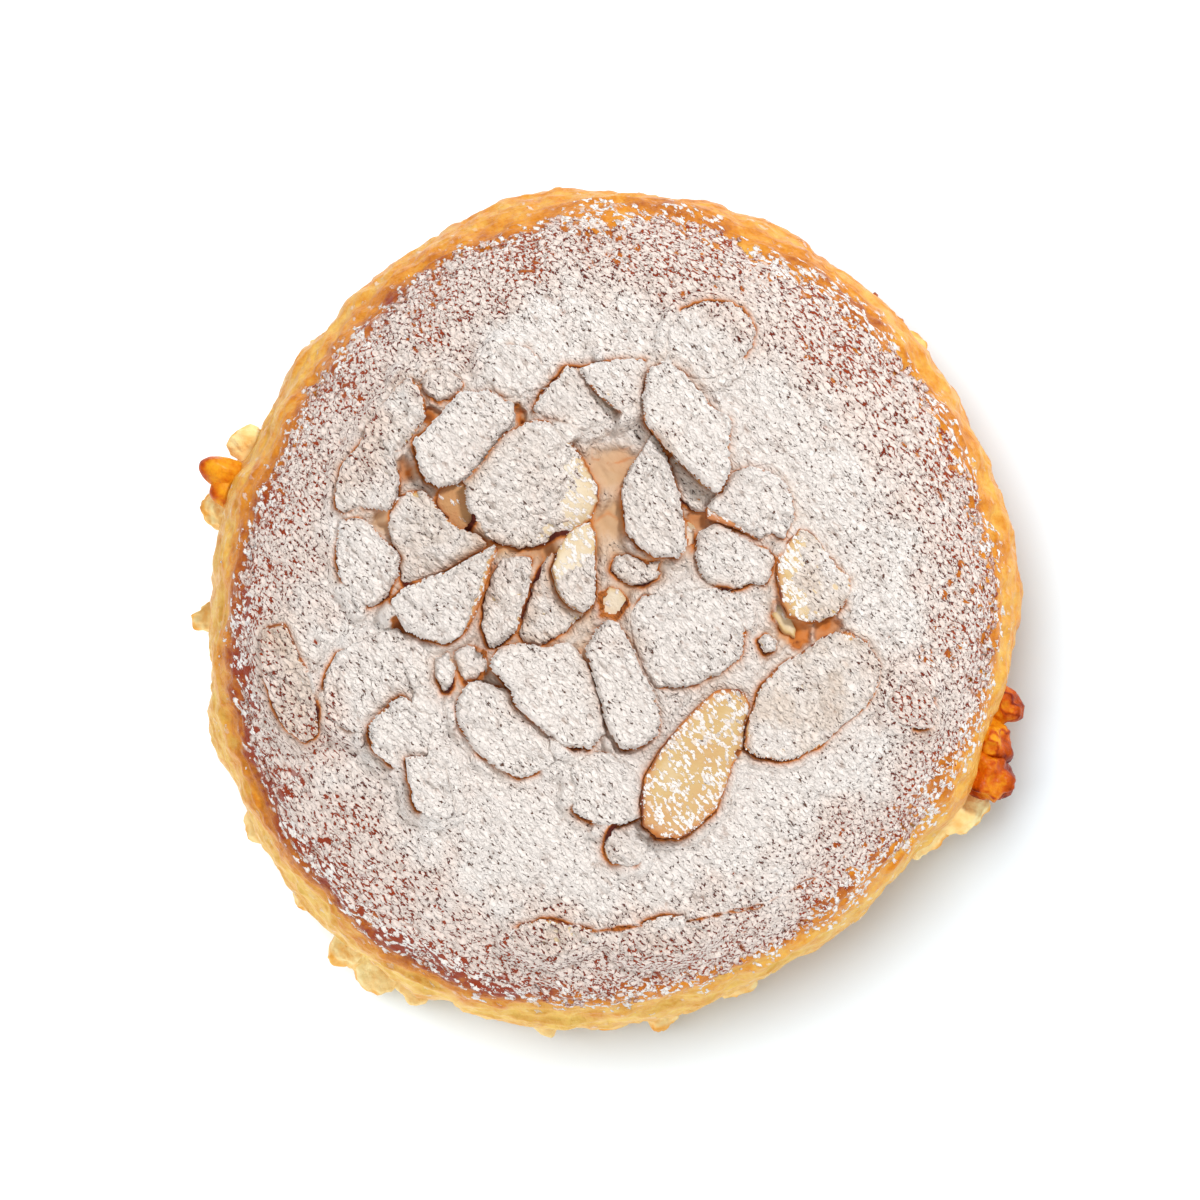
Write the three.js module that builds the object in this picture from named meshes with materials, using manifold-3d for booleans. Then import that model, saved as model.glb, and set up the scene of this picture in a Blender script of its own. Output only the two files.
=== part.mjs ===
// A bee sting bun: a flat round yeast bun with baked crags on its flank and flaked almonds over its crown.
// Millimetres, +Z up. The origin is the middle of the flat base, and +Y is the far side.
import * as THREE from "three";
import { mergeVertices } from "three/addons/utils/BufferGeometryUtils.js";
import Module from "manifold-3d";

const wasm = await Module();
wasm.setup();

// The bun's body
const BUN_RADIUS = 48.2; // mean, at the waist
const BUN_HEIGHT = 34; // to the crown, without the almonds
const BASE_RADIUS = 39; // of the flat foot
const WAIST_HEIGHT = 13; // where the flank is widest
const SHOULDER_POWER = 3.2; // 2 is an ellipse, and more makes a flatter crown
const BUN_SEGMENTS = 96;
const FLANK_STEPS = 7;
const CROWN_STEPS = 14;

// How the outline swells: waves round the bun, their height, and the angle of one crest in degrees
const OUTLINE_WAVES = [
  { count: 1, swell: 0.25, crest: -24 },
  { count: 2, swell: 1.45, crest: 63 },
  { count: 3, swell: 0.75, crest: 109 },
  { count: 4, swell: 0.25, crest: -3 },
];

// The crown's low swells, and the shallow dish that most of the almonds lie in
const SWELL_HEIGHT = 0.4;
const SWELL_LENGTH = 8; // over one radian
const SWELL_START = new THREE.Vector2(0.6, -0.4); // radians
const DISH_DEPTH = 1.4;
const DISH_RADIUS = 19;
const DISH_CENTRE = new THREE.Vector2(-2, 2);

// Baked crags on the flank: angle round the bun and pitch in degrees, height of the middle above the base,
// reach past the outline, width along the flank, thickness, and how uneven it is
const CRAG_ROOT = 5; // how deep a crag starts inside the outline
const CRAG_DETAIL = 2;
const CRAG_BLUNTNESS = 0.8; // 1 is an ellipsoid, and less is squarer
const CRAG_LUMPS = new THREE.Vector3(3.1, 3.7, 3.3); // radians of lump over half its length, width, thickness
const CRAGS = [
  { angle: 160.7, rise: 12, reach: 4.4, width: 3.8, thick: 3.4, pitch: 16, rough: 0.05 },
  { angle: 165.5, rise: 9, reach: 2.9, width: 5.2, thick: 4.6, pitch: -4, rough: 0.08 },
  { angle: 155, rise: 10, reach: 1.9, width: 4.6, thick: 4.0, pitch: 8, rough: 0.08 },
  { angle: 157.5, rise: 9, reach: 0.6, width: 3.2, thick: 4.0, pitch: 0, rough: 0.05 },
  { angle: 137, rise: 9, reach: 0.6, width: 2.6, thick: 3.0, pitch: 0, rough: 0.08 },
  { angle: 181, rise: 9, reach: 1.9, width: 3.8, thick: 4.0, pitch: 0, rough: 0.08 },
  { angle: 212, rise: 6, reach: 0.6, width: 4.6, thick: 4.4, pitch: -4, rough: 0.08 },
  { angle: 224, rise: 6, reach: 0.7, width: 4.0, thick: 4.4, pitch: -6, rough: 0.08 },
  { angle: 233.5, rise: 6, reach: 1.7, width: 5.0, thick: 5.0, pitch: -4, rough: 0.1 },
  { angle: 237.5, rise: 5, reach: 1.9, width: 6.0, thick: 5.0, pitch: -6, rough: 0.1 },
  { angle: 243, rise: 5, reach: 0.9, width: 4.4, thick: 4.6, pitch: -6, rough: 0.1 },
  { angle: 252, rise: 5, reach: 0.4, width: 8.0, thick: 5.0, pitch: -6, rough: 0.08 },
  { angle: 262, rise: 5, reach: 1.3, width: 4.0, thick: 4.0, pitch: -6, rough: 0.1 },
  { angle: 270.5, rise: 6, reach: 0.7, width: 7.0, thick: 4.6, pitch: -4, rough: 0.1 },
  { angle: 278, rise: 6, reach: 1.9, width: 4.8, thick: 4.4, pitch: -6, rough: 0.1 },
  { angle: 288, rise: 7, reach: 0.9, width: 8.0, thick: 5.0, pitch: -2, rough: 0.08 },
  { angle: 331, rise: 8, reach: 3.6, width: 6.4, thick: 6.0, pitch: -4, rough: 0.1 },
  { angle: 336.5, rise: 11, reach: 5.2, width: 6.6, thick: 6.0, pitch: 8, rough: 0.14 },
  { angle: 341, rise: 11, reach: 3.4, width: 6.0, thick: 5.0, pitch: 6, rough: 0.12 },
  { angle: 346.5, rise: 10, reach: 3.0, width: 4.8, thick: 5.0, pitch: 6, rough: 0.12 },
  { angle: 41, rise: 10, reach: 0.9, width: 4.6, thick: 5.0, pitch: 2, rough: 0.06 },
  { angle: 44.5, rise: 9, reach: 0.6, width: 4.0, thick: 4.6, pitch: 2, rough: 0.06 },
  { angle: 48.5, rise: 10, reach: 0.9, width: 4.4, thick: 5.0, pitch: 4, rough: 0.1 },
  { angle: 36, rise: 8, reach: 0.4, width: 7.0, thick: 5.0, pitch: 0, rough: 0.06 },
];

// Chips of almond baked into the crown, half sunk: place of the middle, length and width, heading in degrees
const CHIP_THICKNESS = 1.6;
const CHIPS = [
  { at: [3.6, 4.4], size: [6.2, 4.2], heading: -12 },
  { at: [0.8, 1.0], size: [4.6, 3.8], heading: 60 },
  { at: [22.0, -1.2], size: [6.6, 2.8], heading: -55 },
  { at: [-15.6, -6.6], size: [5.4, 4.4], heading: -70 },
  { at: [-18.8, -7.6], size: [4.4, 2.8], heading: 80 },
  { at: [10.6, 8.8], size: [3.4, 1.6], heading: 75 },
];

// Flaked almonds, from the lowest laid to the last: the place of the middle, length and width, and the heading
// of the narrow end in degrees. taper is how much that end narrows. broken gives the missing side, in degrees
// from the heading, and how far from the middle the break runs, as a share of the half size.
const FLAKE_THICKNESS = 0.8;
const FLAKE_SEGMENTS = 16;
const FLAKE_STACKS = 5; // odd, so that the two rings nearest the middle make a blunt rim
const FLAKE_TAPER = 0.15; // where a flake has none of its own
const TIP_SHARPNESS = 1.5; // for each unit of taper
const FLAKE_BOW = 0.45; // rise of a flake's ends over its middle, at most
const FLAKE_RIPPLE = 0.03; // unevenness of the outline
const RIPPLE_WAVES = [3, 5]; // round the outline
const NEXT_FLAKE = 2.4; // radians between one flake's bow and ripple and the next one's
const UNBROKEN = [0, Infinity];
const FLAKES = [
  { name: "left_mound", at: [-26.8, -8.4], size: [13.4, 11.2], heading: 62, taper: 0.2 },
  { name: "left_low", at: [-23.6, -15.2], size: [9.4, 7.6], heading: -60 },
  { name: "left_slab", at: [-20.2, -21.8], size: [8.6, 5.2], heading: 97, taper: 0.05, broken: [180, 0.75] },
  { name: "left_rim", at: [-36.7, -9.2], size: [14.2, 5.2], heading: -72 },
  { name: "far_right", at: [12.6, 31.5], size: [11.2, 9.2], heading: 30, taper: 0.2 },
  { name: "near_left", at: [-6.4, -38.4], size: [10.2, 4.6], heading: -4 },
  { name: "near_right", at: [6.4, -38.2], size: [10, 4.8], heading: 9, taper: 0.2 },
  { name: "far_left_small", at: [-19, 26], size: [7.2, 5.4], heading: -40, taper: 0.2 },
  { name: "far_left_low", at: [-10, 27.9], size: [8.4, 6.6], heading: -30 },
  { name: "right_rim", at: [36.2, -11.2], size: [7.2, 5.4], heading: -50, taper: 0.2 },
  { name: "under_long", at: [3.2, -26.6], size: [8.2, 5], heading: 70 },
  { name: "near_middle", at: [0.2, -21.4], size: [10.2, 8.8], heading: -20, taper: 0.15, broken: [180, 0.7] },
  { name: "peach_left", at: [-16.9, 12], size: [7.4, 4.8], heading: -70 },
  { name: "peach_right", at: [10.6, 14.6], size: [8.6, 5.4], heading: -50 },
  { name: "left_broken", at: [-19.8, 9.3], size: [13.2, 8.4], heading: -35, taper: 0.1, broken: [160, 0.8] },
  { name: "left_edge", at: [-27.8, 5.5], size: [12, 7], heading: -65 },
  { name: "left_long", at: [-26.6, 19.4], size: [18.2, 6.9], heading: 61, taper: 0.2 },
  { name: "far_broken_left", at: [-3.4, 24.1], size: [10, 7.4], heading: 22, taper: 0.1, broken: [-30, 0.5] },
  { name: "far_broken_right", at: [1.9, 26.2], size: [8.8, 6.4], heading: -22, taper: 0.2, broken: [200, 0.6] },
  { name: "middle_low", at: [-5, 0.6], size: [12.8, 9.2], heading: 58, taper: 0.2 },
  { name: "right_low", at: [15.4, 5.8], size: [10, 8.2], heading: -22, taper: 0.1, broken: [100, 0.6] },
  { name: "near_long", at: [-11.2, -14.4], size: [14.8, 9.2], heading: -42 },
  { name: "near_broad", at: [-5.2, -10.8], size: [15.4, 10.8], heading: -46, taper: 0.1, broken: [150, 0.75] },
  { name: "middle_broad", at: [10.1, -3.3], size: [14.4, 11], heading: 14 },
  { name: "broad_bare", at: [-8.2, 14.4], size: [17, 14.2], heading: -50, taper: 0.1, broken: [175, 0.6] },
  { name: "middle_narrow", at: [-11.2, 0.9], size: [11.4, 5.2], heading: 80, taper: 0.05 },
  { name: "right_egg", at: [24.6, 3.8], size: [11.4, 8.4], heading: 108, taper: 0.25 },
  { name: "right_large", at: [25.2, -10.2], size: [17.6, 11.8], heading: 216 },
  { name: "right_broken", at: [17.2, 12], size: [11.6, 8.6], heading: -18, taper: 0.05, broken: [-80, 0.45] },
  { name: "broad_left", at: [-17, 20], size: [13.2, 10], heading: 36, taper: 0.1, broken: [-70, 0.6] },
  { name: "half_moon", at: [-18.6, 2], size: [14.6, 10.4], heading: 26, taper: 0.15, broken: [95, 0.35] },
  { name: "upright", at: [-3.2, 5], size: [11, 5.4], heading: 76, taper: 0.3 },
  { name: "far_leaf", at: [10.3, 21.6], size: [17.4, 8.6], heading: -58, taper: 0.2 },
  { name: "teardrop", at: [5.6, 12.9], size: [14.2, 7.2], heading: 91, taper: 0.45 },
  { name: "near_narrow", at: [2.5, -9.5], size: [15.4, 6.4], heading: 112 },
  { name: "long_bare", at: [10.8, -18.2], size: [19.2, 9.6], heading: 57, taper: 0.2 },
];

// Flakes with little sugar on them
const BARE_FLAKES = new Set(["peach_left", "peach_right", "broad_bare", "upright", "long_bare"]);

// Laying the almonds: the gap left under each, and the step that it is raised by until it is clear
const GAP = 0.3;
const RAISE_STEP = 0.1;
const STEEPEST_TRIAL = 0.3; // slopes that a flake is tried at, from this change down to the finest
const FINEST_TRIAL = 0.004;
const TRIAL_DIRECTIONS = 16;
const TRIALS = 48;
const SKY = 80; // rays that look for what lies below start this high
const MERGE_DISTANCE = 1e-4;

const CRUST = new THREE.MeshStandardMaterial({ color: 0xe0a35a, roughness: 0.6, metalness: 0 });
const DUSTED_ALMOND = new THREE.MeshStandardMaterial({ color: 0xe8dcd4, roughness: 0.85, metalness: 0 });
const BARE_ALMOND = new THREE.MeshStandardMaterial({ color: 0xe0be94, roughness: 0.6, metalness: 0 });

const radians = THREE.MathUtils.degToRad;

// A closed geometry, at its place, as a solid that can be joined and tested.
function solidOf(geometry, matrix = new THREE.Matrix4()) {
  const bare = geometry.clone().applyMatrix4(matrix);
  bare.deleteAttribute("normal");
  bare.deleteAttribute("uv");
  const merged = mergeVertices(bare, MERGE_DISTANCE);
  const vertProperties = merged.attributes.position.array;
  const triVerts = new Uint32Array(merged.index.array);
  return new wasm.Manifold(new wasm.Mesh({ numProp: 3, vertProperties, triVerts }));
}

function geometryOf(solid) {
  const mesh = solid.getMesh();
  const geometry = new THREE.BufferGeometry();
  geometry.setAttribute("position", new THREE.BufferAttribute(mesh.vertProperties, 3));
  geometry.setIndex(new THREE.BufferAttribute(mesh.triVerts, 1));
  geometry.computeVertexNormals();
  return geometry;
}

// Moves every vertex of a geometry by a function that changes the point it is given.
function reshape(geometry, move) {
  const positions = geometry.attributes.position;
  const point = new THREE.Vector3();
  for (let i = 0; i < positions.count; i++) {
    move(point.fromBufferAttribute(positions, i));
    positions.setXYZ(i, point.x, point.y, point.z);
  }
  return geometry;
}

// How much wider than a circle the bun is at an angle.
function outlineScale(angle) {
  let swell = 0;
  for (const wave of OUTLINE_WAVES) {
    swell += wave.swell * Math.cos(wave.count * (angle - radians(wave.crest)));
  }
  return 1 + swell / BUN_RADIUS;
}

function crownRelief(x, y) {
  const swells = Math.sin(x / SWELL_LENGTH + SWELL_START.x) * Math.cos(y / SWELL_LENGTH + SWELL_START.y);
  const fromDish = Math.hypot(x - DISH_CENTRE.x, y - DISH_CENTRE.y) / DISH_RADIUS;
  return SWELL_HEIGHT * swells - DISH_DEPTH * Math.exp(-fromDish * fromDish);
}

// The bun without its toppings: a turned profile, swollen to its outline, with the crown's relief.
function bunGeometry() {
  const profile = [new THREE.Vector2(0, 0), new THREE.Vector2(BASE_RADIUS / 2, 0)];
  for (let i = 0; i <= FLANK_STEPS; i++) {
    const turn = (i / FLANK_STEPS) * (Math.PI / 2);
    const radius = BASE_RADIUS + (BUN_RADIUS - BASE_RADIUS) * Math.sin(turn);
    profile.push(new THREE.Vector2(radius, WAIST_HEIGHT * (1 - Math.cos(turn))));
  }
  for (let i = 1; i < CROWN_STEPS; i++) {
    const turn = (i / CROWN_STEPS) * (Math.PI / 2);
    const radius = BUN_RADIUS * Math.cos(turn) ** (2 / SHOULDER_POWER);
    profile.push(new THREE.Vector2(radius, WAIST_HEIGHT + (BUN_HEIGHT - WAIST_HEIGHT) * Math.sin(turn)));
  }
  profile.push(new THREE.Vector2(0, BUN_HEIGHT));
  const turned = new THREE.LatheGeometry(profile, BUN_SEGMENTS).rotateX(Math.PI / 2);
  return reshape(turned, (point) => {
    const scale = outlineScale(Math.atan2(point.y, point.x));
    point.x *= scale;
    point.y *= scale;
    point.z += crownRelief(point.x, point.y) * THREE.MathUtils.smoothstep(point.z, WAIST_HEIGHT, BUN_HEIGHT);
  });
}

// A blunt, lumpy crag whose tip stands its reach past the outline.
function cragGeometry(crag) {
  const halves = new THREE.Vector3((CRAG_ROOT + crag.reach) / 2, crag.width / 2, crag.thick / 2);
  const blunted = (value) => Math.sign(value) * Math.abs(value) ** CRAG_BLUNTNESS;
  const lump = reshape(new THREE.IcosahedronGeometry(1, CRAG_DETAIL), (point) => {
    const phase = point.clone().multiply(CRAG_LUMPS);
    const lumps = Math.sin(phase.x + crag.angle) * Math.sin(phase.y) + Math.cos(phase.z + crag.angle);
    point.set(blunted(point.x), blunted(point.y), blunted(point.z));
    point.multiplyScalar(1 + crag.rough * lumps).multiply(halves);
  });
  lump.rotateY(-radians(crag.pitch)).computeBoundingBox();
  const angle = radians(crag.angle);
  const tip = BUN_RADIUS * outlineScale(angle) + crag.reach;
  return lump.translate(tip - lump.boundingBox.max.x, 0, crag.rise).rotateZ(angle);
}

// A flake lying level about the origin, with its narrow end towards +X: a sphere pressed flat to its outline.
function flakeGeometry(flake, thickness, index) {
  const rimRing = Math.cos(Math.PI / (2 * FLAKE_STACKS));
  const taper = flake.taper ?? FLAKE_TAPER;
  const phase = NEXT_FLAKE * index;
  const bow = FLAKE_BOW * Math.sin(phase);
  const [missingSide, breakShare] = flake.broken ?? UNBROKEN;
  const missing = new THREE.Vector2(Math.cos(radians(missingSide)), Math.sin(radians(missingSide)));
  const pressed = new THREE.SphereGeometry(1, FLAKE_SEGMENTS, FLAKE_STACKS).rotateX(Math.PI / 2);
  return reshape(pressed, (point) => {
    const share = Math.hypot(point.x, point.y) / rimRing;
    const angle = Math.atan2(point.y, point.x);
    const sharpness = 1 + TIP_SHARPNESS * taper * Math.max(Math.cos(angle), 0);
    const girth = Math.sign(point.y) * Math.abs(Math.sin(angle)) ** sharpness;
    let ripple = 1;
    for (const waves of RIPPLE_WAVES) {
      ripple += FLAKE_RIPPLE * Math.sin(waves * (angle + phase));
    }
    const place = new THREE.Vector2(Math.cos(angle), girth * (1 - taper * Math.cos(angle)));
    place.multiplyScalar(share * ripple);
    const past = Math.max(place.dot(missing) - breakShare, 0);
    place.addScaledVector(missing, -past * share);
    point.x = (place.x * flake.size[0]) / 2;
    point.y = (place.y * flake.size[1]) / 2;
    point.z = (Math.sign(point.z) * thickness) / 2 + bow * (share * Math.cos(angle)) ** 2;
  });
}

const raycaster = new THREE.Raycaster();

function heightBelow(x, y, meshes) {
  raycaster.set(new THREE.Vector3(x, y, SKY), new THREE.Vector3(0, 0, -1));
  return raycaster.intersectObjects(meshes)[0].point.z;
}

// Settles a flake on what lies under it: it tips whichever way lets its middle sink lowest.
function settle(mesh, flake, meshes) {
  const [middleX, middleY] = flake.at;
  const heading = radians(flake.heading);
  const positions = mesh.geometry.attributes.position;
  const contacts = [];
  const point = new THREE.Vector3();
  for (let i = 0; i < positions.count; i++) {
    point.fromBufferAttribute(positions, i);
    const x = middleX + point.x * Math.cos(heading) - point.y * Math.sin(heading);
    const y = middleY + point.x * Math.sin(heading) + point.y * Math.cos(heading);
    contacts.push({ along: point.x, across: point.y, height: heightBelow(x, y, meshes) - point.z });
  }
  const restingHeight = (tip) =>
    Math.max(...contacts.map((contact) => contact.height - tip.x * contact.along - tip.y * contact.across));
  const tip = new THREE.Vector2();
  for (let step = STEEPEST_TRIAL; step > FINEST_TRIAL; step /= 2) {
    for (let i = 0; i < TRIALS; i++) {
      const turn = (2 * Math.PI * i) / TRIAL_DIRECTIONS;
      const trial = new THREE.Vector2(Math.cos(turn), Math.sin(turn)).multiplyScalar(step).add(tip);
      if (restingHeight(trial) < restingHeight(tip)) tip.copy(trial);
    }
  }
  const along = new THREE.Vector3(Math.cos(heading), Math.sin(heading), tip.x).normalize();
  const across = new THREE.Vector3(-Math.sin(heading), Math.cos(heading), tip.y);
  const up = new THREE.Vector3().crossVectors(along, across).normalize();
  across.crossVectors(up, along);
  mesh.quaternion.setFromRotationMatrix(new THREE.Matrix4().makeBasis(along, across, up));
  mesh.position.set(middleX, middleY, restingHeight(tip));
}

function chipSolid(chip, index, bun) {
  const chipMesh = new THREE.Mesh(flakeGeometry(chip, CHIP_THICKNESS, index));
  settle(chipMesh, chip, [bun]);
  chipMesh.position.z -= CHIP_THICKNESS / 2;
  chipMesh.updateMatrixWorld();
  return solidOf(chipMesh.geometry, chipMesh.matrixWorld);
}

function makeBun() {
  const plain = new THREE.Mesh(bunGeometry());
  let solid = solidOf(plain.geometry);
  for (const crag of CRAGS) {
    solid = solid.add(solidOf(cragGeometry(crag)));
  }
  CHIPS.forEach((chip, index) => {
    solid = solid.add(chipSolid(chip, index, plain));
  });
  const bun = new THREE.Mesh(geometryOf(solid), CRUST);
  bun.name = "bun";
  return { bun, solid };
}

// Whether a flake and the gap under it are free of what is already laid.
function isClear(mesh, pile) {
  mesh.updateMatrixWorld();
  const solid = solidOf(mesh.geometry, mesh.matrixWorld);
  return solid.intersect(pile).isEmpty() && solid.translate([0, 0, -GAP]).intersect(pile).isEmpty();
}

// Lays the flakes one after another, each raised until it clears the bun and the flakes already there.
function makeAlmonds(bun, bunSolid) {
  const almonds = new THREE.Group();
  let pile = bunSolid;
  FLAKES.forEach((flake, index) => {
    const material = BARE_FLAKES.has(flake.name) ? BARE_ALMOND : DUSTED_ALMOND;
    const mesh = new THREE.Mesh(flakeGeometry(flake, FLAKE_THICKNESS, index), material);
    mesh.name = "almond_" + flake.name;
    settle(mesh, flake, [bun, ...almonds.children]);
    mesh.position.z += GAP;
    while (!isClear(mesh, pile)) {
      mesh.position.z += RAISE_STEP;
    }
    pile = pile.add(solidOf(mesh.geometry, mesh.matrixWorld));
    almonds.add(mesh);
  });
  return almonds;
}

const part = new THREE.Group();
const { bun, solid } = makeBun();
part.add(bun, makeAlmonds(bun, solid));

export default part;
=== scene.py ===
"""A bee sting bun: a flat yeast bun with a golden rim, flaked almonds and a thick dusting of sugar.

Shapes are worked out in millimetres in the frame of the CAD solids, +Z up and +Y the far side, and become
metres when a piece is made. The bun's body has the named sizes of its solid, its crags come close to those
of the solid, and each flake is made from its own solid.
"""

import math

import bmesh
import bpy
import numpy as np
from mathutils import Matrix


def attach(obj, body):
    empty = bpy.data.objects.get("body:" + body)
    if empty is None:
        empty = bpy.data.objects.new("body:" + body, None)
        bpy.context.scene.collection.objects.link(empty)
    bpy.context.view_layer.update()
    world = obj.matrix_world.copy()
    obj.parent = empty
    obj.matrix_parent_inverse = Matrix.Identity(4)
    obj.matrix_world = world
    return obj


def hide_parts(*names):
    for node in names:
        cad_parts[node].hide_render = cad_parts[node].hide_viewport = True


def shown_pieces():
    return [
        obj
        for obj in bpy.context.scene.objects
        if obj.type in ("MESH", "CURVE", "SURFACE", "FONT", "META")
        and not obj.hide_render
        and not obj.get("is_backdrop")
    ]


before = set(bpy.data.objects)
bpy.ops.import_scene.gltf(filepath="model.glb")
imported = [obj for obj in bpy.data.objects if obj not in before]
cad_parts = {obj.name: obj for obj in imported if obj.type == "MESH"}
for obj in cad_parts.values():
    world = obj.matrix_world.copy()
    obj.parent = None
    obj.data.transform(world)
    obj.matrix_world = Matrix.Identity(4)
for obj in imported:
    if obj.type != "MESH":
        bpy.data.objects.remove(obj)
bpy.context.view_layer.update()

MM = 0.001

# The bun's body
BUN_RADIUS = 48.2
BUN_HEIGHT = 34
BASE_RADIUS = 39
WAIST_HEIGHT = 13
SHOULDER_POWER = 3.2
# Waves in the outline: how many go round, how high each stands, and the angle of a crest in degrees
OUTLINE_WAVES = [(1, 0.25, -24), (2, 1.45, 63), (3, 0.75, 109), (4, 0.25, -3)]
SWELL_HEIGHT = 0.4
SWELL_LENGTH = 8
SWELL_START = (0.6, -0.4)
DISH_DEPTH = 1.4
DISH_RADIUS = 19
DISH_CENTRE = (-2, 2)
# The crust's mesh: its columns, the radius of its rings under the base, its rows up the flank, and the turns
# in degrees between which its rows over the shoulder and the crown lie, with their number
CRUST_COLUMNS = 600
BASE_RINGS = (0.5, 20, 33)
FLANK_ROWS = 28
SHOULDER_ROWS = (1, 52, 84)
CROWN_ROWS = (53.5, 89.6, 14)
# Heights over which the skin's unevenness sets in above the base, and its creases die out below the crown
SKIN_START = (0.2, 3.0)
CREASES_END = (29, 22)
STREAK_HEIGHT = 0.16
STREAK_STRETCH = 7
STREAK_WIDTH = 1.1
# How far the crust is baked where it faces down, out and up, by the rise of its outward direction
RIM_BAKE = (
    (-0.9, 0.5), (-0.5, 0.36), (0, 0.3), (0.3, 0.22), (0.43, 0.36), (0.53, 0.56), (0.62, 0.74), (0.72, 0.95),
)
# Sides where the crust is browner or paler: how much, the side in degrees, and the rise over which that sets
# in
# The paler side is painted light: it brightens the steep rim that the lamps leave in shade
SIDE_TONES = ((0.2, 225, 0.5, 0.66), (-0.14, 250, 0.64, 0.48))
STREAK_BAKE = 0.12
BASE_BAKE = 0.8
BASE_FADE = (0.5, 4.0)
# Bake and dust at the middle of the base and of the crown
MIDDLE_BAKE = (0.6, 0.9)
MIDDLE_DUST = (0, 1)

# Crags on the flank: how far they go into the bun, how blunt they are, and how close their lumps lie
CRAG_ROOT = 5
CRAG_BLUNTNESS = 0.92
CRAG_LUMPS = (3.1, 3.7, 3.3)
LARGE_CRAG = 1.5  # crags that reach further have a finer mesh
DOUGH, CARAMEL = "dough", "caramel"
# Each crag's angle, height, reach past the outline, width, thickness, pitch, unevenness, bake and kind
CRAGS = [
    (160.3, 12, 4.8, 4.0, 3.4, 16, 0.03, 0.13, CARAMEL),
    (162.6, 12, 2.6, 4.2, 3.4, 16, 0.03, 0.13, CARAMEL),
    (165.5, 9, 3.2, 5.6, 4.6, -4, 0.08, 0.14, DOUGH),
    (155, 10, 2.4, 5.2, 4.0, 8, 0.08, 0.14, DOUGH),
    (157.5, 9, 0.6, 3.2, 4.0, 0, 0.05, 0.25, DOUGH),
    (137, 9, 0.6, 2.6, 3.0, 0, 0.08, 0.25, DOUGH),
    (181, 9, 1.9, 3.8, 4.0, 0, 0.08, 0.2, DOUGH),
    (212, 6, 0.6, 4.6, 4.4, -4, 0.08, 0.25, DOUGH),
    (224, 6, 0.7, 4.0, 4.4, -6, 0.08, 0.25, DOUGH),
    (233.5, 6, 2.6, 5.6, 5.0, -4, 0.1, 0.1, DOUGH),
    (237.5, 5, 2.8, 7.0, 5.0, -6, 0.1, 0.08, DOUGH),
    (243, 5, 1.7, 5.4, 4.6, -6, 0.1, 0.12, DOUGH),
    (252, 5, 0.4, 8.0, 5.0, -6, 0.08, 0.25, DOUGH),
    (262, 5, 1.3, 4.0, 4.0, -6, 0.1, 0.22, DOUGH),
    (270.5, 6, 0.7, 7.0, 4.6, -4, 0.1, 0.22, DOUGH),
    (278, 6, 1.9, 4.8, 4.4, -6, 0.1, 0.16, DOUGH),
    (288, 7, 0.9, 8.0, 5.0, -2, 0.08, 0.24, DOUGH),
    (331, 8, 4.0, 7.6, 6.0, -4, 0.1, 0.12, DOUGH),
    (326, 8, 1.6, 8.0, 6.0, -4, 0.08, 0.16, DOUGH),
    (336.5, 11, 5.2, 6.6, 6.0, 8, 0.14, 0.48, CARAMEL),
    (341, 11, 3.4, 6.0, 5.0, 6, 0.12, 0.42, CARAMEL),
    (346.5, 10, 3.0, 4.8, 5.0, 6, 0.12, 0.4, CARAMEL),
    (41, 10, 0.9, 4.6, 5.0, 2, 0.06, 0.35, DOUGH),
    (44.5, 9, 0.6, 4.0, 4.6, 2, 0.06, 0.4, DOUGH),
    (48.5, 10, 0.9, 4.4, 5.0, 4, 0.1, 0.6, CARAMEL),
    (36, 8, 0.4, 7.0, 5.0, 0, 0.06, 0.3, DOUGH),
]

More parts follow.
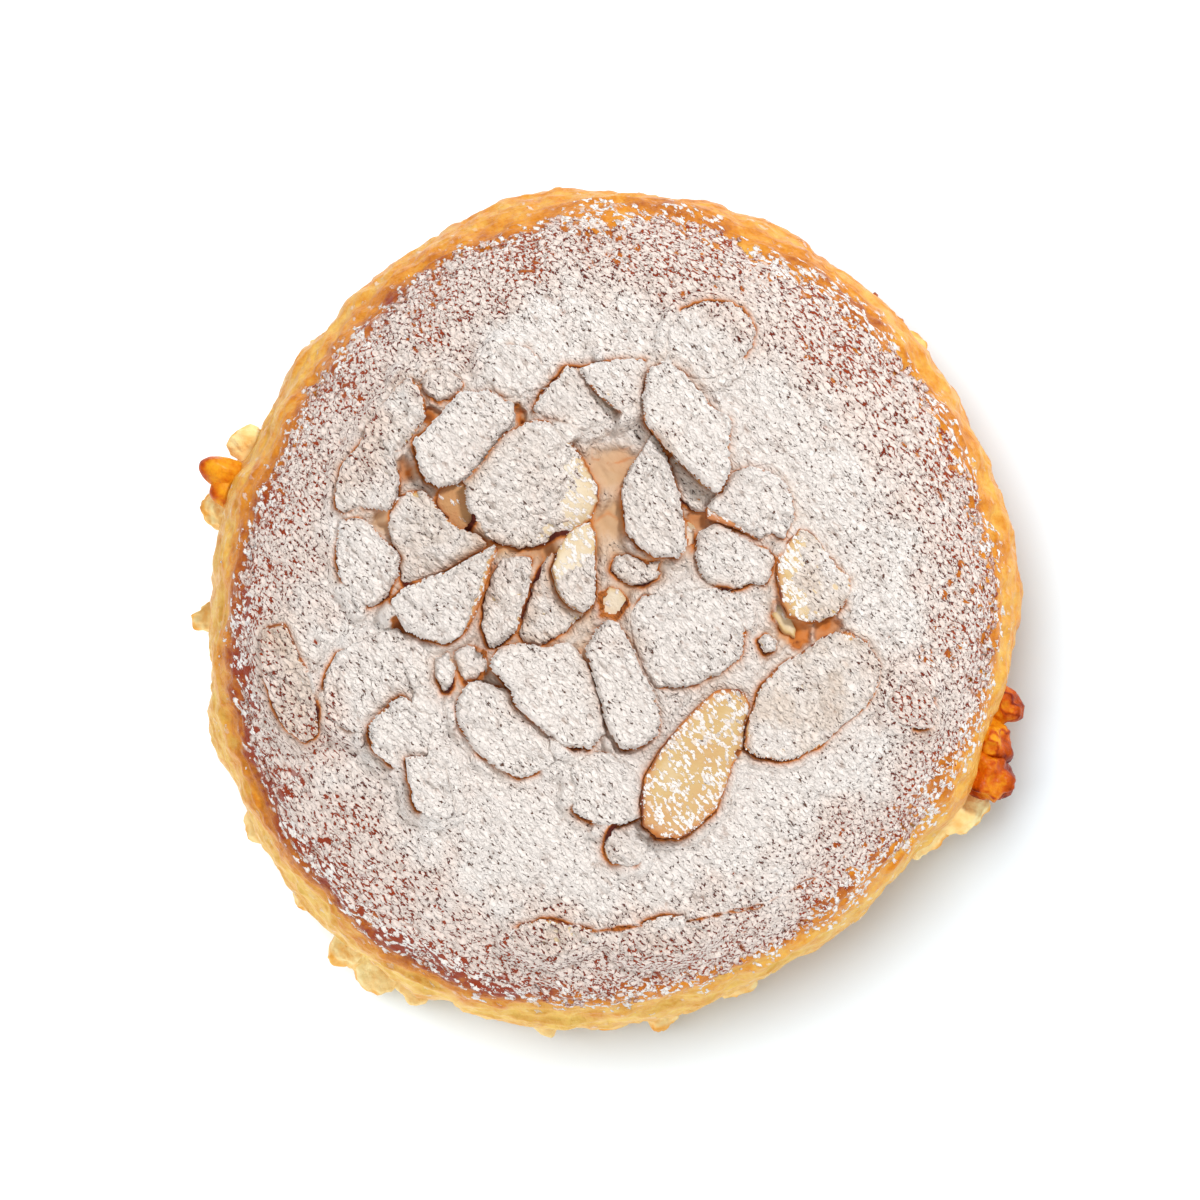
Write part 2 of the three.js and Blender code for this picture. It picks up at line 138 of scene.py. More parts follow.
# Flakes in the order they were laid: how much of each the sugar covers, how much of its edge is buried,
# how chipped the edge is, and how toasted the almond is
FLAKES = {
    "left_mound": (1.0, 0.85, 0.3, 0.15),
    "left_low": (1.0, 0.65, 0.5, 0.15),
    "left_slab": (0.95, 0.4, 0.6, 0.15),
    "left_rim": (0.8, 0.3, 0.4, 0.45),
    "far_right": (1.0, 0.55, 0.3, 0.15),
    "near_left": (0.8, 0.45, 0.7, 0.3),
    "near_right": (0.9, 0.7, 0.7, 0.3),
    "far_left_small": (0.9, 0.3, 0.6, 0.3),
    "far_left_low": (0.95, 0.7, 0.6, 0.2),
    "right_rim": (0.95, 0.85, 0.5, 0.2),
    "under_long": (0.9, 0.5, 0.4, 0.2),
    "near_middle": (1.0, 0.85, 0.8, 0.15),
    "peach_left": (0.1, 0.0, 0.5, 0.85),
    "peach_right": (0.8, 0.0, 0.5, 0.85),
    "left_broken": (0.84, 0.0, 0.9, 0.3),
    "left_edge": (0.95, 0.35, 0.5, 0.2),
    "left_long": (0.88, 0.3, 0.6, 0.3),
    "far_broken_left": (0.9, 0.3, 0.9, 0.3),
    "far_broken_right": (0.95, 0.3, 0.9, 0.2),
    "middle_low": (0.82, 0.0, 0.5, 0.25),
    "right_low": (0.95, 0.35, 0.8, 0.2),
    "near_long": (1.0, 0.35, 0.6, 0.15),
    "near_broad": (1.0, 0.4, 0.9, 0.15),
    "middle_broad": (1.0, 0.45, 0.6, 0.15),
    "broad_bare": (0.97, 0.1, 0.6, 0.1),
    "middle_narrow": (0.88, 0.0, 0.4, 0.3),
    "right_egg": (0.78, 0.1, 0.5, 0.3),
    "right_large": (0.82, 0.1, 0.4, 0.3),
    "right_broken": (0.95, 0.15, 0.9, 0.3),
    "broad_left": (1.0, 0.2, 0.8, 0.15),
    "half_moon": (1.0, 0.0, 0.5, 0.2),
    "upright": (0.9, 0.0, 0.6, 0.1),
    "far_leaf": (0.97, 0.25, 0.4, 0.2),
    "teardrop": (1.0, 0.0, 0.6, 0.2),
    "near_narrow": (1.0, 0.25, 0.7, 0.15),
    "long_bare": (0.6, 0.05, 0.2, 0.48),
}
# Flakes with one end almost free of sugar: the way to that end in degrees, where the sugar stops, over what
# share of the flake it thins out, how much more the end is toasted, and how much of it fine specks cover
BARE_ENDS = {
    "broad_bare": (-25, 0.42, 0.3, 0.0, 0.2),
    "upright": (115, 0.1, 0.4, 0.0, 0.3),
    "long_bare": (237, 0.05, 0.9, 0.1, 0.36),
    "right_egg": (185, 0.5, 0.5, 0.2, 0.5),
    "half_moon": (-20, 0.84, 0.1, 0.6, 0.3),
    "right_broken": (238, 0.7, 0.1, 0.7, 0.2),
}
# Flakes whose edge stands out of the sugar on one side only: the way to that side and half its spread, in
# degrees
OPEN_SIDES = {
    "far_right": (50, 75),
    "left_mound": (165, 35),
    "left_low": (195, 60),
    "left_slab": (170, 70),
    "near_left": (80, 75),
    "near_right": (95, 50),
    "middle_broad": (-65, 65),
    "right_rim": (-40, 60),
    "far_broken_left": (110, 75),
    "far_broken_right": (150, 110),
}
# Edges of the flakes that lie open to view, in turn, as pixels of the photo
FLAKE_EDGES = {
    "left_long": (
        (402, 384), (411, 378), (419, 387), (424, 405), (426, 419), (411, 441), (398, 452), (399, 478),
        (398, 498), (391, 509), (362, 506), (345, 515), (337, 507), (339, 485), (342, 466), (361, 446),
        (368, 424), (386, 404),
    ),
    "left_edge": (
        (341, 520), (357, 517), (370, 525), (386, 541), (401, 556), (399, 575), (390, 598), (372, 605),
        (360, 611), (352, 595), (340, 575), (338, 548),
    ),
    "left_broken": (
        (396, 501), (410, 492), (424, 490), (438, 507), (448, 521), (466, 531), (480, 536), (489, 546),
        (462, 566), (430, 578), (404, 586), (400, 562), (391, 533), (392, 512),
    ),
    "broad_left": (
        (462, 391), (488, 392), (513, 404), (517, 426), (504, 433), (484, 460), (468, 480), (450, 487),
        (436, 487), (424, 476), (414, 452), (411, 443), (422, 433), (436, 419), (447, 405),
    ),
    "broad_bare": (
        (505, 432), (517, 428), (536, 421), (552, 426), (567, 438), (586, 466), (598, 486), (599, 500),
        (592, 520), (568, 534), (541, 545), (520, 549), (500, 544), (487, 535), (476, 520), (469, 500),
        (467, 482), (484, 460),
    ),
    "half_moon": (
        (392, 600), (402, 591), (425, 579), (455, 569), (478, 555), (494, 545), (500, 548), (490, 570),
        (483, 593), (474, 617), (459, 637), (445, 644), (428, 639), (408, 629), (396, 614),
    ),
    "middle_narrow": (
        (503, 559), (518, 556), (530, 558), (534, 568), (529, 590), (521, 614), (515, 630), (500, 645),
        (490, 647), (483, 626), (485, 600), (493, 575),
    ),
    "middle_low": (
        (519, 634), (523, 614), (531, 590), (537, 568), (552, 552), (572, 556), (590, 575), (592, 606),
        (575, 622), (560, 635), (542, 645), (527, 644),
    ),
    "upright": (
        (578, 525), (591, 520), (597, 538), (596, 575), (594, 603), (583, 611), (565, 602), (557, 585),
        (551, 571), (557, 550), (567, 535),
    ),
    "teardrop": (
        (653, 437), (662, 449), (669, 465), (678, 494), (683, 520), (686, 548), (678, 558), (655, 557),
        (640, 547), (627, 532), (624, 510), (621, 490), (630, 468), (645, 447),
    ),
    "far_leaf": (
        (651, 369), (662, 362), (678, 372), (697, 391), (712, 410), (730, 420), (729, 450), (729, 476),
        (718, 496), (704, 486), (690, 472), (672, 454), (655, 437), (644, 420), (643, 395), (646, 379),
    ),
    "far_broken_left": (
        (534, 408), (541, 395), (556, 380), (566, 369), (582, 370), (592, 388), (602, 402), (618, 415),
        (600, 428), (577, 432), (556, 424), (537, 418),
    ),
    "far_broken_right": (
        (583, 371), (600, 365), (620, 363), (640, 361), (648, 370), (644, 386), (642, 405), (622, 415),
        (610, 406), (598, 396), (590, 384),
    ),
    "far_left_small": (
        (422, 383), (428, 373), (440, 371), (455, 374), (464, 386), (455, 398), (440, 402), (428, 395),
    ),
    "right_broken": (
        (703, 510), (710, 500), (722, 492), (734, 472), (748, 468), (768, 473), (784, 484), (793, 500),
        (793, 518), (784, 540), (770, 534), (756, 541), (735, 531), (718, 525), (704, 520),
    ),
    "right_low": (
        (700, 531), (714, 524), (735, 533), (752, 543), (768, 549), (776, 558), (774, 575), (766, 588),
        (754, 584), (738, 588), (727, 592), (713, 587), (701, 575), (697, 560), (697, 545),
    ),
    "right_egg": (
        (790, 540), (800, 529), (812, 534), (828, 556), (836, 569), (849, 578), (849, 594), (840, 611),
        (822, 620), (803, 623), (788, 616), (779, 602), (776, 578), (779, 556),
    ),
    "middle_broad": (
        (640, 598), (662, 592), (690, 588), (715, 586), (736, 592), (745, 612), (743, 640), (737, 658),
        (718, 672), (692, 684), (655, 687), (640, 668), (630, 640), (630, 615),
    ),
    "near_narrow": (
        (596, 632), (608, 622), (618, 624), (630, 643), (639, 668), (651, 688), (659, 712), (658, 735),
        (640, 748), (622, 750), (607, 727), (601, 698), (591, 665), (586, 650),
    ),
    "near_broad": (
        (497, 647), (520, 644), (545, 649), (566, 642), (582, 653), (594, 676), (602, 705), (606, 733),
        (590, 750), (565, 747), (548, 733), (533, 722), (516, 707), (510, 690), (498, 674), (489, 668),
    ),
    "near_long": (
        (460, 700), (469, 684), (480, 681), (500, 688), (512, 690), (530, 705), (552, 735), (556, 762),
        (537, 771), (520, 778), (500, 768), (482, 756), (466, 735), (457, 715),
    ),
    "right_large": (
        (752, 707), (762, 685), (778, 666), (803, 650), (825, 635), (848, 631), (867, 642), (879, 663),
        (878, 685), (866, 705), (838, 730), (815, 748), (785, 760), (757, 756), (743, 747), (745, 725),
    ),
    "long_bare": (
        (749, 705), (738, 688), (716, 690), (697, 706), (676, 729), (660, 750), (646, 775), (641, 800),
        (642, 825), (655, 836), (677, 839), (698, 827), (716, 808), (725, 785), (732, 765), (743, 745),
        (745, 722),
    ),
    "left_rim": (
        (266, 628), (286, 624), (297, 650), (312, 678), (320, 708), (318, 735), (305, 742), (288, 730),
        (275, 708), (266, 680), (262, 650),
    ),
    "left_slab": (
        (406, 758), (428, 757), (447, 760), (451, 785), (458, 812), (438, 820), (417, 808), (411, 782),
    ),
}
FLAKE_THICKNESS = 0.8
FLAKE_SPOKES = 130
FLAKE_BREAKS = 9
BREAK_DEPTH = 2.2
SEEN_EDGE_BREAKS = 0.2
HIDDEN_EDGE_SOFTENING, SEEN_EDGE_SOFTENING = 37, 13  # steps of turn
FLAKE_RINGS = (0.25, 0.5, 0.68, 0.8, 0.88, 0.93, 0.965, 0.985, 1.0)
# Seeds of the flakes' unevenness: the first, and the step from one flake to the next
FLAKE_SEEDS = (200, 20)
FLAKE_DUST = 0.7
OPEN_SIDE_FADE = 20  # degrees on both sides of where an open side ends
# The shadows beside the flakes are painted: darker and broader on the side away from this way
LIGHT_WAY = (0.6, 0.8)  # towards the light that throws the shadows beside the flakes

# Broken chips of almond: the edge in turn as pixels of the photo, how much sugar covers it and how toasted
# it is
CHIPS = [
    (
        ((610, 570), (616, 556), (628, 554), (647, 562), (662, 560), (657, 578), (643, 586), (627, 584)),
        0.95,
        0.35,
    ),
    (((600, 595), (610, 587), (623, 593), (628, 605), (616, 619), (600, 615)), 0.25, 0.1),
    (((770, 600), (778, 598), (786, 612), (796, 632), (794, 640), (782, 632), (772, 616)), 0.1, 0.35),
    (((757, 640), (764, 634), (775, 640), (774, 650), (764, 653)), 1.0, 0.2),
    (((455, 652), (470, 645), (486, 652), (490, 668), (480, 682), (466, 684), (458, 670)), 0.95, 0.3),
    (((436, 660), (448, 652), (456, 668), (454, 688), (444, 692), (437, 676)), 0.95, 0.3),
    (((684, 518), (691, 522), (697, 532), (697, 544), (690, 554), (684, 545)), 0.35, 0.15),
]
CHIP_THICKNESS = 1.6
CHIP_HALF = 0.5  # how far the corners that it is shaped from lie above and below the crown
CHIP_BREAKS = 0.6
CHIP_DUST = 0.5
CHIP_SEEDS = (900, 20)

# The dusting: the step of its mesh, its middle, its share of the crust at some distances from there, and how
# high the blanket lies by that share
SUGAR_STEP = 0.2
SUGAR_MIDDLE = (0.9, 0.0)
SUGAR_REACH = ((0, 1.0), (26, 1.0), (31, 0.95), (37, 0.85), (43, 0.76), (45, 0.6), (46.7, 0.0))
SUGAR_BLANKET = ((0, -0.4), (0.45, -0.22), (0.6, -0.17), (0.74, -0.08), (0.92, 0.14), (1, 0.26))
# How far out the blanket and the whole dusting end, and how far the sugar's mesh may sink into the crust
SUGAR_CROWN = 31
SUGAR_END = 46.7
SUGAR_SUNK = -0.12
# How far points lie off an even grid, in steps, how many waves of that go to a millimetre, and its seeds
SUGAR_JITTER = 0.35
JITTER_WAVES = 3.1
JITTER_SEEDS = (401, 402)
SUGAR_MARGIN = 1.5
FLAKE_SUGAR_SEEDS = (500, 40)
# How sugar meets a flake: it banks up this wide, rises over a buried edge, and stays below an open one
BANK_WIDTH = 3.0
BANK_RISE = 0.2
OPEN_EDGE_DROP = 0.55
BANK_MOST = 1.2
FAR_OFF = 4.0  # the gap where no flake is near
TOO_HIGH = 9.0  # higher than any sugar lies
COVERING_REACH = 2.5  # how near a flake has to lie over another to matter to the sugar on it
# Sizes of the sugar's clumps and of the pits between them
COARSE_CLUMP, MIDDLE_CLUMP, FINE_CLUMP, PIT = 1.4, 0.85, 0.42, 0.45
BLANKET_SEED, BANK_SEED = 421, 461
SUGAR_GRAIN_TURN = 45  # degrees from +X of the way that the sugar's ridges run, clockwise
SUGAR_GRAIN_STRETCH = 1.9
CRUST_DUST = 0.7
# Loose grains: how many, how far out they start and over what width they lie, and along a flake's edge how
# many to a millimetre; sizes are the least, and how much larger the largest are
GRAIN_SEED = 7
LOOSE_GRAINS = 2600
LOOSE_GRAIN_START, LOOSE_GRAIN_BAND = 24, 22.5
LOOSE_GRAIN_SIZE = (0.06, 0.11)
EDGE_GRAINS_PER_MM = 0.7
EDGE_GRAIN_SIZE = (0.05, 0.09)
EDGE_GRAIN_COVER = 0.5  # flakes with less sugar have none along their edge
# The middle of the crown, where the flakes lie close, warm dough shows between them, and the shade painted
# beside them is deeper
SHELTER_MIDDLE = (-7, 8.5)
SHELTER_RADIUS = (10, 18)

# The photo's frame
PHOTO_SIDE = 1200
PHOTO_PIXELS_PER_MM = 8.5
PHOTO_ORIGIN = (604, 609.5)
CAMERA_HEIGHT = 6000
CAMERA_CLIP = (0.05, 20)
SENSOR_WIDTH = 36

# Lamps: azimuth from +X towards +Y and elevation in degrees, strength, and softness in degrees
KEY = (55, 54, 2.02, 8)
FILL = (245, 15, 0.9, 50)
TABLE_LIGHT = (135, 60, 3.9, 60)
SKY_TINT = (1.0, 0.965, 0.925, 1)
SKY_STRENGTH = 0.63
TABLE_HALF = 1500
TABLE_DROP = 0.05
TABLE_TONES = ((0.83, 0.92, 1.0, 1), (0.84, 0.93, 1.0, 1))


def from_photo(column, row):
    """The place on the bun, in millimetres, of a pixel of the photo."""
    return (column - PHOTO_ORIGIN[0]) / PHOTO_PIXELS_PER_MM, (PHOTO_ORIGIN[1] - row) / PHOTO_PIXELS_PER_MM


# Hollows between the flakes where smooth dough shows, and one painted shadow: middle, radius and how brown it
# is
BARE_HOLLOWS = [
    (*from_photo(612, 468), 3.4, 0.06),
    (*from_photo(612, 520), 2.6, 0.04),
    (*from_photo(548, 556), 1.8, 0.3),
    (*from_photo(408, 472), 1.8, 0.2),
    (*from_photo(458, 506), 2.2, 0.05),
    (*from_photo(385, 520), 1.6, 0.05),
    (*from_photo(700, 478), 2.0, 0.1),
    (*from_photo(800, 632), 1.8, 0.45),
    (*from_photo(826, 632), 2.0, 0.4),
    (*from_photo(786, 632), 1.6, 0.15),
    (*from_photo(698, 520), 1.8, 0.35),
    (*from_photo(522, 416), 1.3, 0.85),
    (*from_photo(432, 414), 0.9, 0.6),
    # A painted shadow under the lower-left edge of half_moon, laid as a brown hollow
    (*from_photo(403, 626), 1.4, 0.75),
    (*from_photo(640, 815), 2.0, 0.15),
]

# The crack that runs across the sugar near the front edge
SUGAR_CRACK = [from_photo(*spot) for spot in ((515, 925), (600, 930), (690, 920), (760, 905), (830, 870))]


def ease(value, low, high):
    """0 at low, 1 at high, with a soft start and end."""
    share = np.clip((value - low) / (high - low), 0, 1)
    return share * share * (3 - 2 * share)


def scramble(cells, seed):
    """A repeatable number from 0 to 1 for each whole-number cell: the large numbers only mix its bits."""
    mixed = np.full(cells.shape[:-1], seed * 668265263 + 374761393, np.int64) & 0xFFFFFFFF
    for axis, factor in zip(range(cells.shape[-1]), (73856093, 19349663, 83492791)):
        mixed = ((mixed ^ (cells[..., axis] * factor)) & 0xFFFFFFFF) * 1274126177 & 0xFFFFFFFF
        mixed ^= mixed >> 15
    mixed = mixed * 2246822519 & 0xFFFFFFFF
    mixed ^= mixed >> 13
    return (mixed & 0xFFFFFF) / float(1 << 24)


def waviness(points, seed):
    """Smooth lumps from -1 to 1, about one to a unit of the points."""
    cells = np.floor(points).astype(np.int64)
    part = points - cells
    blend = part * part * part * (part * (part * 6 - 15) + 10)
    total = np.zeros(points.shape[:-1])
    width = points.shape[-1]
    for corner in range(1 << width):
        step = np.array([corner >> axis & 1 for axis in range(width)])
        weight = np.prod(np.where(step, blend, 1 - blend), axis=-1)
        total += weight * scramble(cells + step, seed)
    return 2 * total - 1


# Each finer layer of lumps: how much smaller and lower it is than the last, and how far it is shifted
LAYER_FINER = 2.07
LAYER_LOWER = 0.5
LAYER_SHIFT = 17.3


def roughness_of(points, size, seed, layers):
    """Lumps of the given size in millimetres with layers of finer ones on them, about -1 to 1."""
    total, height = 0.0, 1.0
    scaled = points / size
    for layer in range(layers):
        total = total + height * waviness(scaled + LAYER_SHIFT * layer, seed + layer)
        scaled = scaled * LAYER_FINER
        height *= LAYER_LOWER
    return total


class Unevenness:
    """Lumps of one height and size in millimetres, with finer ones on them."""

    def __init__(self, height, size, seed, layers=3):
        self.height, self.size, self.seed, self.layers = height, size, seed, layers

    def at(self, points, seed=0):
        """About -height to height at each point: a flake adds a seed of its own."""
        return self.height * roughness_of(points, self.size, self.seed + seed, self.layers)


# Unevenness of the crust: height, size, seed, and the number of layers where it is not three
SKIN_BUMPS = Unevenness(0.13, 4.5, 11)
SKIN_GRAIN = Unevenness(0.06, 1.1, 23)
SKIN_SWELLS = Unevenness(0.6, 7, 29)
SKIN_CREASES = Unevenness(0.4, 2.6, 31, 2)
SKIN_STREAKS = Unevenness(1, 1, 37, 2)
RIM_PATCHES = Unevenness(0.08, 6, 57)
RIM_FRECKLES = Unevenness(0.05, 1.4, 63)
BASE_EDGE = Unevenness(0.8, 3, 71)
# Of the crags
CRAG_BUMPS = Unevenness(1, 2.6, 83)
CRAG_FOLDS = {DOUGH: Unevenness(1, 1.5, 91, 2), CARAMEL: Unevenness(1, 2.4, 91, 2)}
CRAG_FRECKLES = Unevenness(0.14, 1.2, 97)
CARAMEL_PATCHES = Unevenness(0.25, 3, 103)
# Of the flakes, most with the flake's own seed
EDGE_WAVES = Unevenness(0.12, 2.2, 0)
EDGE_NICKS = Unevenness(0.09, 0.6, 9)
FLAKE_RIPPLE = Unevenness(0.05, 1.6, 5)
BARE_BAYS = Unevenness(0.25, 2.5, 13)
BARE_NICKS = Unevenness(0.12, 0.7, 15)
BURIED_BAYS = Unevenness(0.5, 5, 17)
BROWN_SKIN = Unevenness(0.02, 0.8, 301)
ALMOND_PATCHES = Unevenness(0.1, 4, 307)
CHIP_PATCHES = Unevenness(0.15, 3, 911)
# Of the sugar
DUST_BAYS = Unevenness(2.6, 7, 41)
DUST_NICKS = Unevenness(0.7, 3, 43)
HOLLOW_EDGE = Unevenness(0.5, 1.5, 47)
HOLLOW_BAKE = Unevenness(0.8, 3, 49)
HOLLOW_CREASES = Unevenness(1, 2.6, 53, 2)
STAIN_PATCHES = Unevenness(0.6, 3, 403)
CRACK_WANDER = Unevenness(0.3, 2.0, 405)
BLUSH_PATCHES = Unevenness(0.6, 4, 407)
SHELTER_BAYS = Unevenness(2, 6, 409)
BLANKET_SWELLS = Unevenness(0.12, 5, 411)
PINCHED_PATCHES = Unevenness(0.25, 2, 415)
CREVICE_PATCHES = Unevenness(0.03, 4, 431)
COVER_SWELLS = Unevenness(0.08, 4, 0)
COVER_EDGE = Unevenness(0.14, 0.6, 37)
COVER_PATCHES = Unevenness(1, 3, 39)


def lumps(x, y, size, share, seed):
    """Rounded lumps of sugar, 0 to 1 high: share gives the odds that a cell of an uneven grid holds one."""
    turn = math.radians(-SUGAR_GRAIN_TURN)
    along = (x * math.cos(turn) + y * math.sin(turn)) / SUGAR_GRAIN_STRETCH
    across = y * math.cos(turn) - x * math.sin(turn)
    spots = np.stack([along, across], -1) / size
    cells = np.floor(spots).astype(np.int64)
    best = np.zeros(x.shape)
    for dx in (-1, 0, 1):
        for dy in (-1, 0, 1):
            near = cells + (dx, dy)
            middle = near + 0.5 + 0.9 * (np.stack([scramble(near, seed), scramble(near, seed + 1)], -1) - 0.5)
            radius = 0.5 + 0.4 * scramble(near, seed + 2)
            away = np.sum((spots - middle) ** 2, -1) / radius**2
            height = np.sqrt(np.clip(1 - away, 0, 1)) * (0.6 + 0.4 * scramble(near, seed + 3))
            best = np.maximum(best, np.where(scramble(near, seed + 4) < share, height, 0))
    return best


def outline_scale(angle):
    swell = sum(high * np.cos(count * (angle - math.radians(crest))) for count, high, crest in OUTLINE_WAVES)
    return 1 + swell / BUN_RADIUS


def crown_relief(x, y):
    swells = np.sin(x / SWELL_LENGTH + SWELL_START[0]) * np.cos(y / SWELL_LENGTH + SWELL_START[1])
    from_dish = np.hypot(x - DISH_CENTRE[0], y - DISH_CENTRE[1]) / DISH_RADIUS
    return SWELL_HEIGHT * swells - DISH_DEPTH * np.exp(-from_dish * from_dish)


def crown_height(x, y):
    """Height of the crown above the base at a place inside the outline."""
    share = np.clip(np.hypot(x, y) / (BUN_RADIUS * outline_scale(np.arctan2(y, x))), 0, 1)
    height = WAIST_HEIGHT + (BUN_HEIGHT - WAIST_HEIGHT) * np.sqrt(1 - share**SHOULDER_POWER)
    return height + crown_relief(x, y) * ease(height, WAIST_HEIGHT, BUN_HEIGHT)


def crust_wrinkles(points):
    """How far the baked skin stands off the smooth body: it is creased on the flank."""
    flank = ease(points[..., 2], *CREASES_END)
    creases = SKIN_SWELLS.at(points) - np.abs(SKIN_CREASES.at(points))
    creases = creases + STREAK_HEIGHT * skin_streaks(points)
    return SKIN_BUMPS.at(points) + SKIN_GRAIN.at(points) + flank * creases


def skin_streaks(points):
    """Strokes that run round the flank, about -1 to 1."""
    x, y, z = np.moveaxis(points, -1, 0)
    upward = (z - np.hypot(x, y)) / STREAK_WIDTH
    return SKIN_STREAKS.at(np.stack([x / STREAK_STRETCH, y / STREAK_STRETCH, upward], -1))


def linear(red, green, blue):
    """A colour given from 0 to 255, as the shader needs it."""
    shares = [value / 255 for value in (red, green, blue)]
    return tuple(v / 12.92 if v <= 0.04045 else ((v + 0.055) / 1.055) ** 2.4 for v in shares) + (1.0,)


FLOAT, COLOUR = "NodeSocketFloat", "NodeSocketColor"
# Sockets of a mix node that hold colours
MIX_FIRST, MIX_SECOND, MIX_RESULT = 6, 7, 2


class Wiring:
    """Adds and joins the nodes of one material or node group."""

    def __init__(self, tree):
        self.tree = tree

    def add(self, kind, inputs=(), **settings):
        node = self.tree.nodes.new(kind)
        for name, value in settings.items():
            setattr(node, name, value)
        for name, value in dict(inputs).items():
            self.join(value, node.inputs[name])
        return node

    def join(self, value, socket):
        if isinstance(value, bpy.types.NodeSocket):
            self.tree.links.new(value, socket)
        else:
            socket.default_value = value

    def math(self, operation, *values, clamp=False):
        node = self.add("ShaderNodeMath", operation=operation, use_clamp=clamp)
        for value, socket in zip(values, node.inputs):
            self.join(value, socket)
        return node.outputs[0]

    def mix(self, share, first, second):
        node = self.add("ShaderNodeMix", data_type="RGBA")
        self.join(share, node.inputs["Factor"])
        self.join(first, node.inputs[MIX_FIRST])
        self.join(second, node.inputs[MIX_SECOND])
        return node.outputs[MIX_RESULT]

    def three_tones(self, share, pale, golden, brown):
        """Pale, golden and brown by a share from 0 to 1."""
        first = self.math("MULTIPLY", share, 2.0, clamp=True)
        second = self.math("MULTIPLY_ADD", share, 2.0, -1.0, clamp=True)
        return self.mix(second, self.mix(first, pale, golden), brown)

    def value_of(self, attribute):
        return self.add("ShaderNodeAttribute", attribute_name=attribute).outputs["Fac"]

    def place(self, scale, stretch=1.0):
        """The place on the bun divided by a size in metres, drawn out along the sugar's ridges by stretch."""
        spot = self.add("ShaderNodeTexCoord").outputs["Object"]
        if stretch != 1.0:
            turned = {"Vector": spot, "Angle": math.radians(SUGAR_GRAIN_TURN)}
            spot = self.add("ShaderNodeVectorRotate", turned, rotation_type="Z_AXIS").outputs[0]
            drawn = self.add("ShaderNodeVectorMath", operation="MULTIPLY")
            self.join(spot, drawn.inputs[0])
            self.join((1 / stretch, 1, 1), drawn.inputs[1])
            spot = drawn.outputs[0]
        share = self.math("DIVIDE", 1.0, scale)
        node = self.add("ShaderNodeVectorMath", operation="SCALE")
        self.join(spot, node.inputs[0])
        self.join(share, node.inputs["Scale"])
        return node.outputs[0]

    def noise(self, where, detail=3.0, roughness=0.55):
        settings = {"Vector": where, "Scale": 1.0, "Detail": detail, "Roughness": roughness}
        return self.add("ShaderNodeTexNoise", settings).outputs["Fac"]


def start_group(name, inputs, outputs):
    """An empty node group with its named sockets: (wiring, its input sockets, its output node)."""
    group = bpy.data.node_groups.new(name, "ShaderNodeTree")
    for label, kind, value in inputs:
        socket = group.interface.new_socket(label, in_out="INPUT", socket_type=kind)
        socket.default_value = value
    for label, kind in outputs:
        group.interface.new_socket(label, in_out="OUTPUT", socket_type=kind)
    wires = Wiring(group)
    given = wires.add("NodeGroupInput").outputs
    return wires, given, wires.add("NodeGroupOutput")


def make_sugar_crumbs(name, scattered):
    """Crumbs of sugar, close or scattered, with broken crevices between: a mask and how high they stand."""
    cover = [("Cover", FLOAT, 0.5)] if scattered else []
    wires, given, result = start_group(
        name,
        cover + [("Crumb Size", FLOAT, 0.0008), ("Crevice", FLOAT, 0.05)],
        [("Sugar", FLOAT), ("Height", FLOAT)],
    )
    where = wires.place(given["Crumb Size"], SUGAR_GRAIN_STRETCH)
    ragged = wires.add("ShaderNodeTexNoise", {"Vector": where, "Scale": 2.4, "Detail": 1.0}).outputs["Color"]
    bent = wires.add("ShaderNodeVectorMath", operation="MULTIPLY_ADD")
    wires.join(ragged, bent.inputs[0])
    wires.join((0.9, 0.9, 0.9), bent.inputs[1])
    wires.join(where, bent.inputs[2])
    spots = {"Vector": bent.outputs[0], "Scale": 1.0}
    edge = wires.add("ShaderNodeTexVoronoi", spots, feature="DISTANCE_TO_EDGE").outputs["Distance"]
    broken = wires.add("ShaderNodeTexNoise", {"Vector": where, "Scale": 1.9, "Detail": 1.0}).outputs["Fac"]
    width = wires.math("MULTIPLY_ADD", broken, 0.7, wires.math("SUBTRACT", given["Crevice"], 0.45))
    mask = wires.math("MULTIPLY", wires.math("SUBTRACT", edge, width), 18.0, clamp=True)
    if scattered:
        cell = wires.add("ShaderNodeTexVoronoi", spots, feature="F1").outputs["Color"]
        lot = wires.add("ShaderNodeSeparateColor", {"Color": cell}).outputs["Red"]
        there = wires.math("MULTIPLY_ADD", wires.math("SUBTRACT", given["Cover"], lot), 10.0, 0.5, clamp=True)
        mask = wires.math("MULTIPLY", there, mask)
    wires.join(mask, result.inputs["Sugar"])
    dome = wires.math("MULTIPLY_ADD", wires.math("MINIMUM", edge, 0.25), 2.0, 0.5)
    wires.join(wires.math("MULTIPLY", mask, dome), result.inputs["Height"])
    return wires.tree


def make_baked_tone():
    """Pale, golden and brown by how far the dough is baked, with blotches and fine freckles."""
    wires, given, result = start_group(
        "Baked Tone",
        [
            ("Bake", FLOAT, 0.5),
            ("Pale", COLOUR, linear(250, 226, 170)),
            ("Golden", COLOUR, linear(238, 178, 98)),
            ("Brown", COLOUR, linear(190, 104, 46)),
            ("Blotch Size", FLOAT, 0.005),
            ("Blotch Depth", FLOAT, 0.25),
        ],
        [("Color", COLOUR), ("Bake", FLOAT)],
    )
    blotch = wires.noise(wires.place(given["Blotch Size"]), detail=4.0, roughness=0.6)
    freckle = wires.noise(wires.place(0.0006), detail=2.0)
    both = wires.math("MULTIPLY_ADD", freckle, 0.45, wires.math("SUBTRACT", blotch, 0.725))
    bake = wires.math("MULTIPLY_ADD", both, given["Blotch Depth"], given["Bake"], clamp=True)
    tone = wires.three_tones(bake, given["Pale"], given["Golden"], given["Brown"])
    wires.join(tone, result.inputs["Color"])
    wires.join(bake, result.inputs["Bake"])
    return wires.tree


